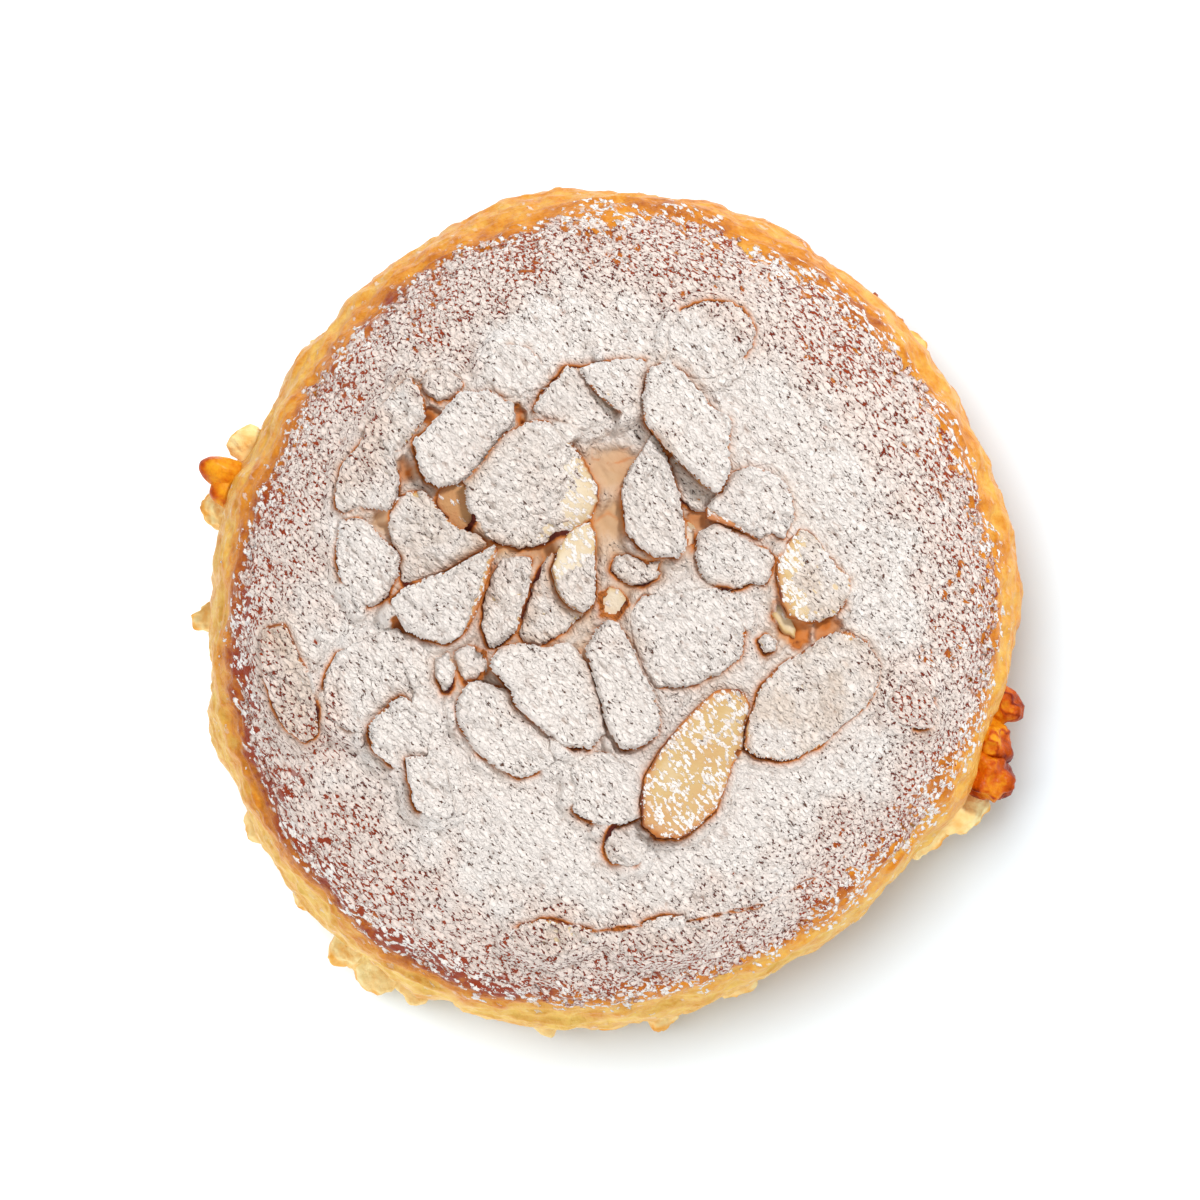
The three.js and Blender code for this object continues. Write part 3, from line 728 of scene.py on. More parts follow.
def make_crumb_relief():
    """A fine uneven surface for the Height of a bump."""
    wires, given, result = start_group(
        "Crumb Relief", [("Crumb Size", FLOAT, 0.0005), ("Streak", FLOAT, 0.0)], [("Height", FLOAT)]
    )
    fine = wires.noise(wires.place(given["Crumb Size"]), detail=2.0, roughness=0.65)
    coarse = wires.noise(wires.place(wires.math("MULTIPLY", given["Crumb Size"], 4.0)), detail=1.0)
    wires.join(wires.math("MULTIPLY_ADD", coarse, given["Streak"], fine), result.inputs["Height"])
    return wires.tree


CLOSE_CRUMBS = make_sugar_crumbs("Close Sugar Crumbs", scattered=False)
SUGAR_CRUMBS = make_sugar_crumbs("Sugar Crumbs", scattered=True)
BAKED_TONE = make_baked_tone()
CRUMB_RELIEF = make_crumb_relief()
SUGAR_WHITE = linear(253, 246, 241)


class Finish(Wiring):
    """A new material with one Principled shader and the bun's shared groups at hand."""

    def __init__(self, name, **constants):
        self.material = bpy.data.materials.new(name)
        self.material.use_nodes = True
        super().__init__(self.material.node_tree)
        self.shader = self.tree.nodes["Principled BSDF"]
        for label, value in constants.items():
            self.shader.inputs[label.replace("_", " ")].default_value = value

    def group(self, made, **inputs):
        node = self.add("ShaderNodeGroup", node_tree=made)
        for label, value in inputs.items():
            self.join(value, node.inputs[label.replace("_", " ")])
        return node.outputs

    def baked(self, pale, golden, brown, blotch_size, blotch_depth):
        """The baked tone, from the colours given, by how far the mesh says it is baked."""
        return self.group(
            BAKED_TONE,
            Bake=self.value_of("bake"),
            Pale=linear(*pale),
            Golden=linear(*golden),
            Brown=linear(*brown),
            Blotch_Size=blotch_size,
            Blotch_Depth=blotch_depth,
        )

    def bump(self, height, depth):
        made = self.add("ShaderNodeBump", {"Height": height, "Distance": depth, "Strength": 1.0})
        self.join(made.outputs[0], self.shader.inputs["Normal"])


def crust_finish():
    finish = Finish("Egg-washed crust", Specular_IOR_Level=0.25)
    tone = finish.baked(
        pale=(238, 194, 92), golden=(218, 136, 28), brown=(146, 54, 20),
        blotch_size=0.0022, blotch_depth=0.9,
    )
    sugar = finish.group(SUGAR_CRUMBS, Cover=finish.value_of("dust"), Crumb_Size=0.0005, Crevice=0.08)
    crumb = finish.group(CRUMB_RELIEF, Crumb_Size=0.0006, Streak=1.5)["Height"]
    finish.join(finish.mix(sugar["Sugar"], tone["Color"], SUGAR_WHITE), finish.shader.inputs["Base Color"])
    finish.join(finish.math("MULTIPLY_ADD", sugar["Sugar"], 0.5, 0.36), finish.shader.inputs["Roughness"])
    finish.bump(finish.math("ADD", sugar["Height"], crumb), 0.00025)
    return finish.material


def crag_finish():
    finish = Finish("Baked dough lip", Specular_IOR_Level=0.22, Roughness=0.5)
    tone = finish.baked(
        pale=(255, 236, 172), golden=(246, 178, 68), brown=(184, 84, 18),
        blotch_size=0.002, blotch_depth=0.5,
    )
    crumb = finish.group(CRUMB_RELIEF, Crumb_Size=0.0004, Streak=1.0)["Height"]
    finish.join(tone["Color"], finish.shader.inputs["Base Color"])
    finish.bump(crumb, 0.00015)
    return finish.material


def caramel_finish():
    finish = Finish("Caramelised edge", Specular_IOR_Level=0.12, Coat_Weight=0.06, Coat_Roughness=0.2)
    tone = finish.baked(
        pale=(238, 164, 26), golden=(200, 86, 0), brown=(122, 30, 0),
        blotch_size=0.0016, blotch_depth=0.9,
    )
    crumb = finish.group(CRUMB_RELIEF, Crumb_Size=0.0005, Streak=1.5)["Height"]
    finish.join(tone["Color"], finish.shader.inputs["Base Color"])
    finish.join(finish.math("MULTIPLY_ADD", tone["Bake"], -0.2, 0.5), finish.shader.inputs["Roughness"])
    finish.bump(crumb, 0.0002)
    return finish.material


def almond_finish():
    finish = Finish("Sliced almond", Specular_IOR_Level=0.3, Roughness=0.5)
    tone = finish.baked(
        pale=(240, 228, 206), golden=(212, 180, 124), brown=(204, 134, 86),
        blotch_size=0.003, blotch_depth=0.25,
    )
    sugar = finish.group(SUGAR_CRUMBS, Cover=finish.value_of("dust"), Crumb_Size=0.00036, Crevice=0.06)
    crumb = finish.group(CRUMB_RELIEF, Crumb_Size=0.0004, Streak=0.5)["Height"]
    along_edge = finish.math("MULTIPLY_ADD", finish.noise(finish.place(0.005)), 5.0, -2.0, clamp=True)
    brown_skin = finish.mix(along_edge, linear(120, 54, 28), linear(204, 124, 52))
    skinned = finish.mix(finish.value_of("skin"), tone["Color"], brown_skin)
    finish.join(finish.mix(sugar["Sugar"], skinned, SUGAR_WHITE), finish.shader.inputs["Base Color"])
    finish.bump(finish.math("ADD", sugar["Height"], crumb), 0.00012)
    return finish.material


def sugar_finish():
    finish = Finish("Powdered sugar", Specular_IOR_Level=0.2, Roughness=0.9)
    crumbs = finish.group(CLOSE_CRUMBS, Crumb_Size=0.0007, Crevice=finish.value_of("crevice"))
    crumb = finish.group(CRUMB_RELIEF, Crumb_Size=0.0003, Streak=0.6)["Height"]
    ridge = finish.noise(finish.place(0.0008, SUGAR_GRAIN_STRETCH), detail=2.0, roughness=0.6)
    # Painted soft shade: the grooves between the sugar's ridges are drawn greyer
    groove_shade = finish.math("MULTIPLY_ADD", ridge, -5.5, 2.3, clamp=True)
    outer = finish.math("MULTIPLY_ADD", finish.value_of("crevice"), 18.0, -0.3, clamp=True)
    rim = finish.math("MULTIPLY_ADD", finish.value_of("crevice"), 24.0, -1.5, clamp=True)
    pinkish = finish.mix(finish.math("MULTIPLY", outer, 0.28), SUGAR_WHITE, linear(238, 194, 168))
    white = finish.mix(finish.math("MULTIPLY", groove_shade, 0.8), pinkish, linear(192, 170, 158))
    thin = finish.mix(finish.value_of("thick"), linear(190, 108, 66), white)
    # Peach tint: thin sugar over dough, and painted warm shade beside the flakes
    blushed_and_shaded = finish.mix(finish.value_of("blush_and_shade"), thin, linear(208, 169, 124))
    # Stain and painted shadow: the brown of the hollows and the crack, and painted shadow lines beside the
    # flakes, orange-brown to dark maroon
    stained_and_shaded = finish.three_tones(finish.value_of("stain_and_shade"), blushed_and_shaded, linear(208, 124, 58), linear(88, 32, 22))
    # The crevices between crumbs: painted grey-brown shade on the crown, and towards the rim the reddish
    # crust darkened with painted shade
    shaded_depths = finish.mix(outer, linear(108, 80, 68), finish.mix(rim, linear(106, 38, 30), linear(160, 66, 34)))
    finish.join(finish.mix(crumbs["Sugar"], shaded_depths, stained_and_shaded), finish.shader.inputs["Base Color"])
    crumbly = finish.math("MULTIPLY_ADD", crumb, 0.5, crumbs["Height"])
    height = finish.math("MULTIPLY_ADD", ridge, 1.6, crumbly)
    smooth = finish.math("MULTIPLY_ADD", finish.value_of("blush_and_shade"), -1.6, 1.5, clamp=True)
    finish.bump(finish.math("MULTIPLY", height, smooth), 0.00036)
    return finish.material


def table_finish():
    finish = Finish("White table", Roughness=0.9, Specular_IOR_Level=0.0)
    tint = finish.noise(finish.place(0.05))
    finish.join(finish.mix(tint, *TABLE_TONES), finish.shader.inputs["Base Color"])
    return finish.material


def mesh_from(name, points, triangles, values=None):
    """A mesh of the points, in millimetres, that its triangles use, with a number for each point."""
    used = np.unique(triangles)
    fresh = np.full(len(points), -1, np.int64)
    fresh[used] = np.arange(len(used))
    corners = fresh[triangles].ravel()
    mesh = bpy.data.meshes.new(name)
    mesh.vertices.add(len(used))
    mesh.vertices.foreach_set("co", (points[used] * MM).ravel())
    mesh.loops.add(len(corners))
    mesh.loops.foreach_set("vertex_index", corners)
    mesh.polygons.add(len(triangles))
    mesh.polygons.foreach_set("loop_start", np.arange(0, len(corners), 3))
    mesh.polygons.foreach_set("use_smooth", np.ones(len(triangles), bool))
    for label, numbers in (values or {}).items():
        layer = mesh.attributes.new(label, "FLOAT", "POINT")
        layer.data.foreach_set("value", np.asarray(numbers, float)[used])
    mesh.update(calc_edges=True)
    mesh.validate()
    return mesh


def add_piece(name, mesh, finish, slot, *nodes):
    """Puts a mesh in the scene on the bun's one body, standing for the CAD nodes named."""
    piece = bpy.data.objects.new(name, mesh)
    bpy.context.scene.collection.objects.link(piece)
    mesh.materials.append(finish)
    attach(piece, "root")
    if nodes:
        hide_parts(*nodes)
    return piece


def grid_triangles(rows, columns, closed=False):
    """Triangles of a grid of points, joined round from the last column to the first where it is closed."""
    steps = columns if closed else columns - 1
    row, column = np.meshgrid(np.arange(rows - 1), np.arange(steps), indexing="ij")
    beside = (column + 1) % columns
    a, b = row * columns + column, row * columns + beside
    c, d = (row + 1) * columns + beside, (row + 1) * columns + column
    return np.concatenate([np.stack([a, b, c], -1).reshape(-1, 3), np.stack([a, c, d], -1).reshape(-1, 3)])


def capped_triangles(rows, columns):
    """Triangles of a closed grid of points, with one more point after them to cap each end of it."""
    count = rows * columns
    last = count - columns
    column = np.arange(columns)
    beside = (column + 1) % columns
    return np.concatenate(
        [
            grid_triangles(rows, columns, closed=True),
            np.stack([np.full(columns, count), beside, column], -1),
            np.stack([np.full(columns, count + 1), last + column, last + beside], -1),
        ]
    )


def grid_normals(points):
    """Outward directions of a grid of points that is closed along its columns."""
    around = np.roll(points, -1, 1) - np.roll(points, 1, 1)
    up = np.gradient(points, axis=0)
    normals = np.cross(around, up)
    return normals / np.maximum(np.linalg.norm(normals, axis=-1, keepdims=True), 1e-9)


def sugar_reach(x, y):
    """How far out a place is, as if the bun were round and its dusting centred."""
    angle = np.arctan2(y, x)
    return np.hypot(x - SUGAR_MIDDLE[0], y - SUGAR_MIDDLE[1]) / outline_scale(angle)


def dust_share(x, y):
    """How much of the crust the sugar covers, from 1 on the crown to 0 at the rim."""
    spots = np.stack([x, y], -1)
    reach = sugar_reach(x, y)
    uneven = DUST_BAYS.at(spots) * ease(reach, 46, 36) + DUST_NICKS.at(spots)
    return np.interp(reach + uneven, *zip(*SUGAR_REACH))


def bareness(x, y):
    """1 in the hollows where the dough shows and 0 where the sugar lies, and how brown the hollows are."""
    most, brown = np.zeros(np.shape(x)), np.zeros(np.shape(x))
    spots = np.stack([x, y], -1)
    uneven = HOLLOW_EDGE.at(spots)
    baked = np.clip(1 + HOLLOW_BAKE.at(spots), 0.2, 2)
    creased = 0.25 * ease(np.abs(HOLLOW_CREASES.at(spots)), 0.1, 0.0)
    for middle_x, middle_y, radius, tone in BARE_HOLLOWS:
        share = 1 - ease(np.hypot(x - middle_x, y - middle_y) + uneven, 0.4 * radius, 1.3 * radius)
        most, brown = np.maximum(most, share), np.maximum(brown, share * (tone * baked + creased))
    return most, brown


def make_crust():
    turns = np.radians(np.concatenate([np.linspace(*SHOULDER_ROWS), np.linspace(*CROWN_ROWS)]))
    flank = np.radians(np.linspace(0, 90, FLANK_ROWS))
    radius = np.concatenate(
        [
            BASE_RINGS,
            BASE_RADIUS + (BUN_RADIUS - BASE_RADIUS) * np.sin(flank),
            BUN_RADIUS * np.cos(turns) ** (2 / SHOULDER_POWER),
        ]
    )
    height = np.concatenate(
        [
            np.zeros(len(BASE_RINGS)),
            WAIST_HEIGHT * (1 - np.cos(flank)),
            WAIST_HEIGHT + (BUN_HEIGHT - WAIST_HEIGHT) * np.sin(turns),
        ]
    )
    angle = np.linspace(0, 2 * math.pi, CRUST_COLUMNS, endpoint=False)
    across = radius[:, None] * outline_scale(angle)
    x, y = across * np.cos(angle), across * np.sin(angle)
    z = np.repeat(height[:, None], CRUST_COLUMNS, 1)
    z = z + crown_relief(x, y) * ease(z, WAIST_HEIGHT, BUN_HEIGHT)
    points = np.stack([x, y, z], -1)
    normals = grid_normals(points)
    raised = ease(height, *SKIN_START)[:, None]
    points = points + normals * (crust_wrinkles(points) * raised)[..., None]
    points[..., 2] = np.maximum(points[..., 2], 0)

    rise = normals[..., 2]
    tilt = rise + RIM_PATCHES.at(points) + RIM_FRECKLES.at(points)
    bake = np.interp(tilt, *zip(*RIM_BAKE))
    bake = bake + STREAK_BAKE * skin_streaks(points) * ease(tilt, 0.7, 0.5)
    on_base = 1 - ease(points[..., 2] + BASE_EDGE.at(points), *BASE_FADE)
    bake = np.maximum(bake, BASE_BAKE * on_base)
    # Browner towards one side, and paler on the steep rim where the lamps leave it in shade: painted light
    for more, side, start, end in SIDE_TONES:
        bake = bake + more * np.cos(angle - math.radians(side)) * ease(rise, start, end)
    dust = np.where(height[:, None] > WAIST_HEIGHT, dust_share(x, y), 0) * ease(rise, 0.1, 0.4)
    dust = CRUST_DUST * dust * (1 - bareness(x, y)[0])

    middles = np.array([[0, 0, 0], [0, 0, float(crown_height(0.0, 0.0))]])
    corners = np.concatenate([points.reshape(-1, 3), middles])
    triangles = capped_triangles(len(radius), CRUST_COLUMNS)
    values = {"bake": np.append(bake.ravel(), MIDDLE_BAKE), "dust": np.append(dust.ravel(), MIDDLE_DUST)}
    mesh = mesh_from("bun_crust", corners, triangles, values)
    add_piece("bun_crust", mesh, crust_finish(), "crust", "bun")


def ball(fineness):
    """Points and triangles of an even ball of radius 1."""
    made = bmesh.new()
    bmesh.ops.create_icosphere(made, subdivisions=fineness, radius=1)
    points = np.array([v.co for v in made.verts])
    triangles = np.array([[v.index for v in f.verts] for f in made.faces])
    made.free()
    return points, triangles


def join_shapes(shapes):
    """One set of points, triangles and values from several."""
    points, triangles, values, start = [], [], {}, 0
    for shape_points, shape_triangles, shape_values in shapes:
        points.append(shape_points)
        triangles.append(shape_triangles + start)
        start += len(shape_points)
        for label, numbers in shape_values.items():
            values.setdefault(label, []).append(numbers)
    joined = {label: np.concatenate(numbers) for label, numbers in values.items()}
    return np.concatenate(points), np.concatenate(triangles), joined


def crag_shape(angle, rise, reach, width, thick, pitch, rough, bake, kind):
    """One lump of dough or caramel that runs out of the flank."""
    points, triangles = ball(5 if reach > LARGE_CRAG else 4)
    phase = points * CRAG_LUMPS
    uneven = np.sin(phase[:, 0] + angle) * np.sin(phase[:, 1]) + np.cos(phase[:, 2] + angle)
    blunt = np.sign(points) * np.abs(points) ** CRAG_BLUNTNESS
    halves = np.array([CRAG_ROOT + reach, width, thick]) / 2
    lump = blunt * (1 + rough * uneven)[:, None] * halves
    tilt = math.radians(pitch)
    x = lump[:, 0] * math.cos(tilt) - lump[:, 2] * math.sin(tilt)
    z = lump[:, 0] * math.sin(tilt) + lump[:, 2] * math.cos(tilt)
    way = math.radians(angle)
    tip = BUN_RADIUS * float(outline_scale(way)) + reach
    x = x + tip - x.max()
    lump = np.stack([x, lump[:, 1], z + rise], -1)
    shift = lump + angle
    fold = np.abs(CRAG_FOLDS[kind].at(shift))
    bumps, deep = (1.1 * bake, 1.9 * bake - 0.2) if kind == CARAMEL else (0.4, 0.4)
    lump = lump + points * (bumps * CRAG_BUMPS.at(shift) - deep * fold)[:, None]
    out = (lump[:, 0] - (tip - reach)) / max(reach, 0.5)
    toast = bake + CRAG_FRECKLES.at(shift)
    if kind == CARAMEL:
        edge = 0.4 * ease(points[:, 2], 0.75, 0.3) * ease(out, 0.2, 0.9)
        edge = edge + 1.7 * (bake - 0.12) * ease(fold, 0.15, 0.0)
        toast = toast + CARAMEL_PATCHES.at(shift) + edge
    else:
        toast = toast + 0.42 * ease(points[:, 2], 0.55, 0.2) * ease(out, 0.2, 0.8)
    turned = np.stack(
        [
            lump[:, 0] * math.cos(way) - lump[:, 1] * math.sin(way),
            lump[:, 0] * math.sin(way) + lump[:, 1] * math.cos(way),
            np.maximum(lump[:, 2], 0.05),
        ],
        -1,
    )
    return turned, triangles, {"bake": np.clip(toast, 0, 1)}


def make_crags():
    for kind, name, finish, slot in (
        (DOUGH, "dough_crags", crag_finish(), "crust"),
        (CARAMEL, "caramel_crags", caramel_finish(), "caramel"),
    ):
        joined = join_shapes([crag_shape(*crag) for crag in CRAGS if crag[-1] == kind])
        add_piece(name, mesh_from(name, *joined), finish, slot)


def hull_of(spots):
    """The outermost of some flat points, in turn."""
    order = sorted(map(tuple, np.round(spots, 4)))
    halves = []
    for line in (order, order[::-1]):
        kept = []
        for spot in line:
            while len(kept) > 1:
                (ax, ay), (bx, by) = kept[-2:]
                if (bx - ax) * (spot[1] - ay) - (by - ay) * (spot[0] - ax) > 0:
                    break
                kept.pop()
            kept.append(spot)
        halves.append(kept[:-1])
    return np.array(halves[0] + halves[1])


class Flake:
    """The shape of one slice: its own directions, outline and bowed middle, read from a solid's corners."""

    def __init__(
        self, corners, thickness, seed, cover, bank, chipped, edge=None, bare_end=None, open_side=None
    ):
        self.middle = corners.mean(0)
        self.thickness, self.seed = thickness, seed
        self.cover, self.bank, self.bare_end, self.open_side = cover, bank, bare_end, open_side
        self.chipped = chipped * (1 if edge is None else SEEN_EDGE_BREAKS)
        along, _, up = np.linalg.svd(corners - self.middle, full_matrices=False)[2]
        along = along if along[0] >= 0 else -along
        up = up if up[2] >= 0 else -up
        self.ways = np.array([along, np.cross(up, along), up])
        local = (corners - self.middle) @ self.ways.T
        terms = self.bow_terms(local[:, 0], local[:, 1])
        self.bow = np.linalg.lstsq(terms, local[:, 2], rcond=None)[0]
        rim = hull_of(local[:, :2]) if edge is None else self.on_plane(edge)
        self.halves = np.abs(rim).max(0)
        self.trace(rim, HIDDEN_EDGE_SOFTENING if edge is None else SEEN_EDGE_SOFTENING)

    @staticmethod
    def bow_terms(a, b):
        return np.stack([np.ones_like(a), a, b, a * a, a * b, b * b], -1)

    def on_plane(self, edge):
        """Close steps along an edge seen from above, as distances along and across the slice."""
        spots = np.array([from_photo(*spot) for spot in edge])
        steps = np.linspace(0, 1, 12, endpoint=False)[:, None]
        sides = zip(spots, np.roll(spots, -1, 0))
        fine = np.concatenate([start + steps * (end - start) for start, end in sides])
        return np.linalg.solve(self.ways[:2, :2].T, (fine - self.middle[:2]).T).T

    def trace(self, rim, softening):
        """Reach of the edge from the middle, for even steps of turn on the slice pressed into a circle."""
        shares = rim / self.halves
        turn = np.arctan2(shares[:, 1], shares[:, 0])
        order = np.argsort(turn)
        turn, reach = turn[order], np.hypot(*shares[order].T)
        self.steps = np.linspace(-math.pi, math.pi, 4 * FLAKE_SPOKES, endpoint=False)
        fine = np.interp(self.steps, turn, reach, period=2 * math.pi)
        window = np.hanning(softening)
        wrapped = np.concatenate([fine[-softening:], fine, fine[:softening]])
        self.reach = np.convolve(wrapped, window / window.sum(), "same")[softening:-softening]

    def edge_reach(self, turn):
        """The edge's reach with its crumbly unevenness."""
        reach = np.interp(turn, self.steps, self.reach, period=2 * math.pi)
        ring = np.stack([np.cos(turn), np.sin(turn)], -1) * self.halves.mean()
        uneven = EDGE_WAVES.at(ring, self.seed) + EDGE_NICKS.at(ring, self.seed)
        draw = np.random.default_rng(self.seed)
        breaks = np.sort(draw.random(FLAKE_BREAKS)) * 2 * math.pi - math.pi
        depth = (draw.random(FLAKE_BREAKS) - 0.55) * BREAK_DEPTH * self.chipped
        chips = np.interp(turn, breaks, depth, period=2 * math.pi)
        return reach + (uneven + chips) / self.halves.mean()

    def share_of(self, a, b):
        """0 at the middle of the slice and 1 at its edge, and the distance in from the edge."""
        turn = np.arctan2(b / self.halves[1], a / self.halves[0])
        from_middle = np.hypot(a / self.halves[0], b / self.halves[1])
        edge = self.edge_reach(turn)
        share = from_middle / edge
        slope = np.hypot(np.cos(turn) / self.halves[0], np.sin(turn) / self.halves[1])
        return share, (1 - share) * edge / slope

    def surface(self, a, b, share, side=1):
        """Height of the upper or under side over the slice's own plane."""
        rounding = 1 - 0.55 * ease(share, 0.9, 1.0)
        ripple = FLAKE_RIPPLE.at(np.stack([a, b], -1), self.seed)
        bow = self.bow_terms(a, b) @ self.bow
        return bow + side * self.thickness / 2 * rounding + ripple

    def in_bun(self, a, b, c):
        return self.middle + np.stack([a, b, c], -1) @ self.ways

    def shape(self):
        """Points, triangles, and for each point its share of the way to the edge and whether it is on top."""
        turn = np.linspace(-math.pi, math.pi, FLAKE_SPOKES, endpoint=False)
        edge = self.edge_reach(turn)
        rows = [(-1, share) for share in FLAKE_RINGS] + [(1, share) for share in FLAKE_RINGS[::-1]]
        points = []
        for side, share in rows:
            a = np.cos(turn) * edge * share * self.halves[0]
            b = np.sin(turn) * edge * share * self.halves[1]
            points.append(self.in_bun(a, b, self.surface(a, b, np.full_like(a, share), side)))
        zero = np.zeros(1)
        points += [self.in_bun(zero, zero, self.surface(zero, zero, zero, side)) for side in (-1, 1)]
        shares = np.repeat([share for _, share in rows], FLAKE_SPOKES)
        top = np.repeat([side > 0 for side, _ in rows], FLAKE_SPOKES)
        values = {"share": np.append(shares, [0, 0]), "top": np.append(top, [0, 0])}
        return np.concatenate(points), capped_triangles(len(rows), FLAKE_SPOKES), values

    def top_height(self, x, y):
        """Height of the upper side over places on the bun, carried on level past its edge."""
        a, b = np.linalg.solve(self.ways[:2, :2].T, np.stack([x, y]) - self.middle[:2, None])
        plane = self.middle[2] + a * self.ways[0, 2] + b * self.ways[1, 2]
        a, b = (np.clip(part, -half, half) for part, half in zip((a, b), self.halves))
        return plane + self.ways[2, 2] * (self.bow_terms(a, b) @ self.bow + self.thickness / 2)

    def towards(self, points, degrees):
        """How far points lie from the middle one way, as a share of the slice's half."""
        way = np.array([math.cos(math.radians(degrees)), math.sin(math.radians(degrees))])
        offs = (points[:, :2] - self.middle[:2]) @ way
        return offs / ((self.outline() - self.middle[:2]) @ way).max()

    def buried(self, spots):
        """1 where the sugar beside the slice hides its edge, and 0 where the edge stands out."""
        hidden = self.bank
        if self.open_side:
            way, spread = self.open_side
            offs = spots - self.middle[:2]
            turned = np.abs((np.degrees(np.arctan2(offs[:, 1], offs[:, 0])) - way + 180) % 360 - 180)
            hidden = 0.9 * ease(turned, spread - OPEN_SIDE_FADE, spread + OPEN_SIDE_FADE)
        return ease(hidden + BURIED_BAYS.at(spots, self.seed), 0.35, 0.65)

    def lee(self, spots):
        """1 beside the slice where its shadow falls, near and to the left, and 0 on the other side."""
        offs = spots - self.middle[:2]
        return ease(-(offs @ LIGHT_WAY) / np.maximum(np.hypot(*offs.T), 0.1), -0.4, 0.8)

    def outline(self):
        """The edge as it is seen from above."""
        turn = np.linspace(-math.pi, math.pi, FLAKE_SPOKES, endpoint=False)
        edge = self.edge_reach(turn)
        a, b = np.cos(turn) * edge * self.halves[0], np.sin(turn) * edge * self.halves[1]
        return self.in_bun(a, b, np.zeros_like(a))[:, :2]


def from_stretch(spots, start, end):
    """Distance of places seen from above from the straight stretch between two of them."""
    run = np.subtract(end, start)
    off = spots - start
    share = np.clip(off @ run / max(run @ run, 1e-9), 0, 1)
    return np.hypot(*(off - share[:, None] * run).T)


def inside_by(x, y, outline, margin=FAR_OFF):
    """Distance outside an outline seen from above: negative inside, and the margin where it is further."""
    low, high = outline.min(0) - margin, outline.max(0) + margin
    near = (x > low[0]) & (x < high[0]) & (y > low[1]) & (y < high[1])
    result = np.full(x.shape, margin)
    spots = np.stack([x[near], y[near]], -1)
    if not len(spots):
        return result
    best = np.full(len(spots), np.inf)
    crossings = np.zeros(len(spots), int)
    for start, end in zip(outline, np.roll(outline, -1, 0)):
        best = np.minimum(best, from_stretch(spots, start, end))
        (ax, ay), (bx, by) = start, end
        spans = (ay > spots[:, 1]) != (by > spots[:, 1])
        meets = ax + (spots[:, 1] - ay) / (by - ay if by != ay else 1e-9) * (bx - ax)
        crossings += spans & (spots[:, 0] < meets)
    result[near] = np.minimum(np.where(crossings % 2, -best, best), margin)
    return result


def node_corners(name):
    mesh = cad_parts[name].data
    corners = np.zeros(len(mesh.vertices) * 3)
    mesh.vertices.foreach_get("co", corners)
    return np.unique(np.round(corners.reshape(-1, 3) / MM, 4), axis=0)


def bare_share(flake, points):
    """1 on the end of a flake that has almost no sugar, 0 on the rest."""
    if not flake.bare_end:
        return np.zeros(len(points))
    way, stop, fade, _, _ = flake.bare_end
    ragged = BARE_BAYS.at(points, flake.seed) + BARE_NICKS.at(points, flake.seed)
    return ease(flake.towards(points, way) + ragged * fade / 0.4, stop - fade, stop + fade)


def cover_on(flake, points):
    """How much of a flake the sugar covers at some points on it."""
    return flake.cover * (1 - 0.85 * bare_share(flake, points))


def make_flakes(finish):
    flakes = []
    first_seed, seed_step = FLAKE_SEEDS
    for index, (name, (cover, bank, chipped, toast)) in enumerate(FLAKES.items()):
        flake = Flake(
            node_corners("almond_" + name),
            FLAKE_THICKNESS,
            first_seed + seed_step * index,
            cover,
            bank,
            chipped,
            FLAKE_EDGES.get(name),
            BARE_ENDS.get(name),
            OPEN_SIDES.get(name),
        )
        flakes.append(flake)
        points, triangles, at = flake.shape()
        skin = ease(at["share"] + BROWN_SKIN.at(points), 0.945, 0.99)
        bake = toast + ALMOND_PATCHES.at(points) + 0.25 * ease(at["share"], 0.7, 1.0)
        dust = FLAKE_DUST * cover_on(flake, points)
        if flake.bare_end:
            toasted, specks = flake.bare_end[-2:]
            bare = bare_share(flake, points)
            bake = bake + toasted * bare
            dust = dust + specks * bare
        dust = dust * at["top"] * (1 - 0.8 * ease(at["share"], 0.95, 1.0))
        values = {"skin": skin, "bake": np.clip(bake, 0, 1), "dust": np.clip(dust, 0, 1)}
        mesh = mesh_from("flake_" + name, points, triangles, values)
        add_piece("flake_" + name, mesh, finish, "almond", "almond_" + name)
    return flakes


def make_chips(finish):
    chips, shapes = [], []
    first_seed, seed_step = CHIP_SEEDS
    for index, (edge, cover, toast) in enumerate(CHIPS):
        spots = np.array([from_photo(*spot) for spot in edge])
        lifted = crown_height(spots[:, 0], spots[:, 1])
        corners = np.concatenate([np.c_[spots, lifted - CHIP_HALF], np.c_[spots, lifted + CHIP_HALF]])
        chip = Flake(corners, CHIP_THICKNESS, first_seed + seed_step * index, cover, 0, CHIP_BREAKS, edge)
        points, triangles, at = chip.shape()
        bake = np.clip(toast + CHIP_PATCHES.at(points) + 0.3 * ease(at["share"], 0.6, 1.0), 0, 1)
        skin = 0.25 * ease(at["share"], 0.95, 1.0)
        values = {"bake": bake, "skin": skin, "dust": CHIP_DUST * cover * at["top"]}
        shapes.append((points, triangles, values))
        chips.append(chip)
    add_piece("almond_chips", mesh_from("almond_chips", *join_shapes(shapes)), finish, "almond")
    return chips


def from_crack(spots):
    """Distance from the crack in the sugar."""
    stretches = zip(SUGAR_CRACK, SUGAR_CRACK[1:])
    return np.min([from_stretch(spots, start, end) for start, end in stretches], axis=0)


def keep_triangles(triangles, thick, hidden):
    """The triangles of a sugar skin that stand out somewhere and aren't wholly under a flake."""
    shows = (thick[triangles] > 0).any(1) & ~hidden[triangles].all(1)
    return triangles[shows]


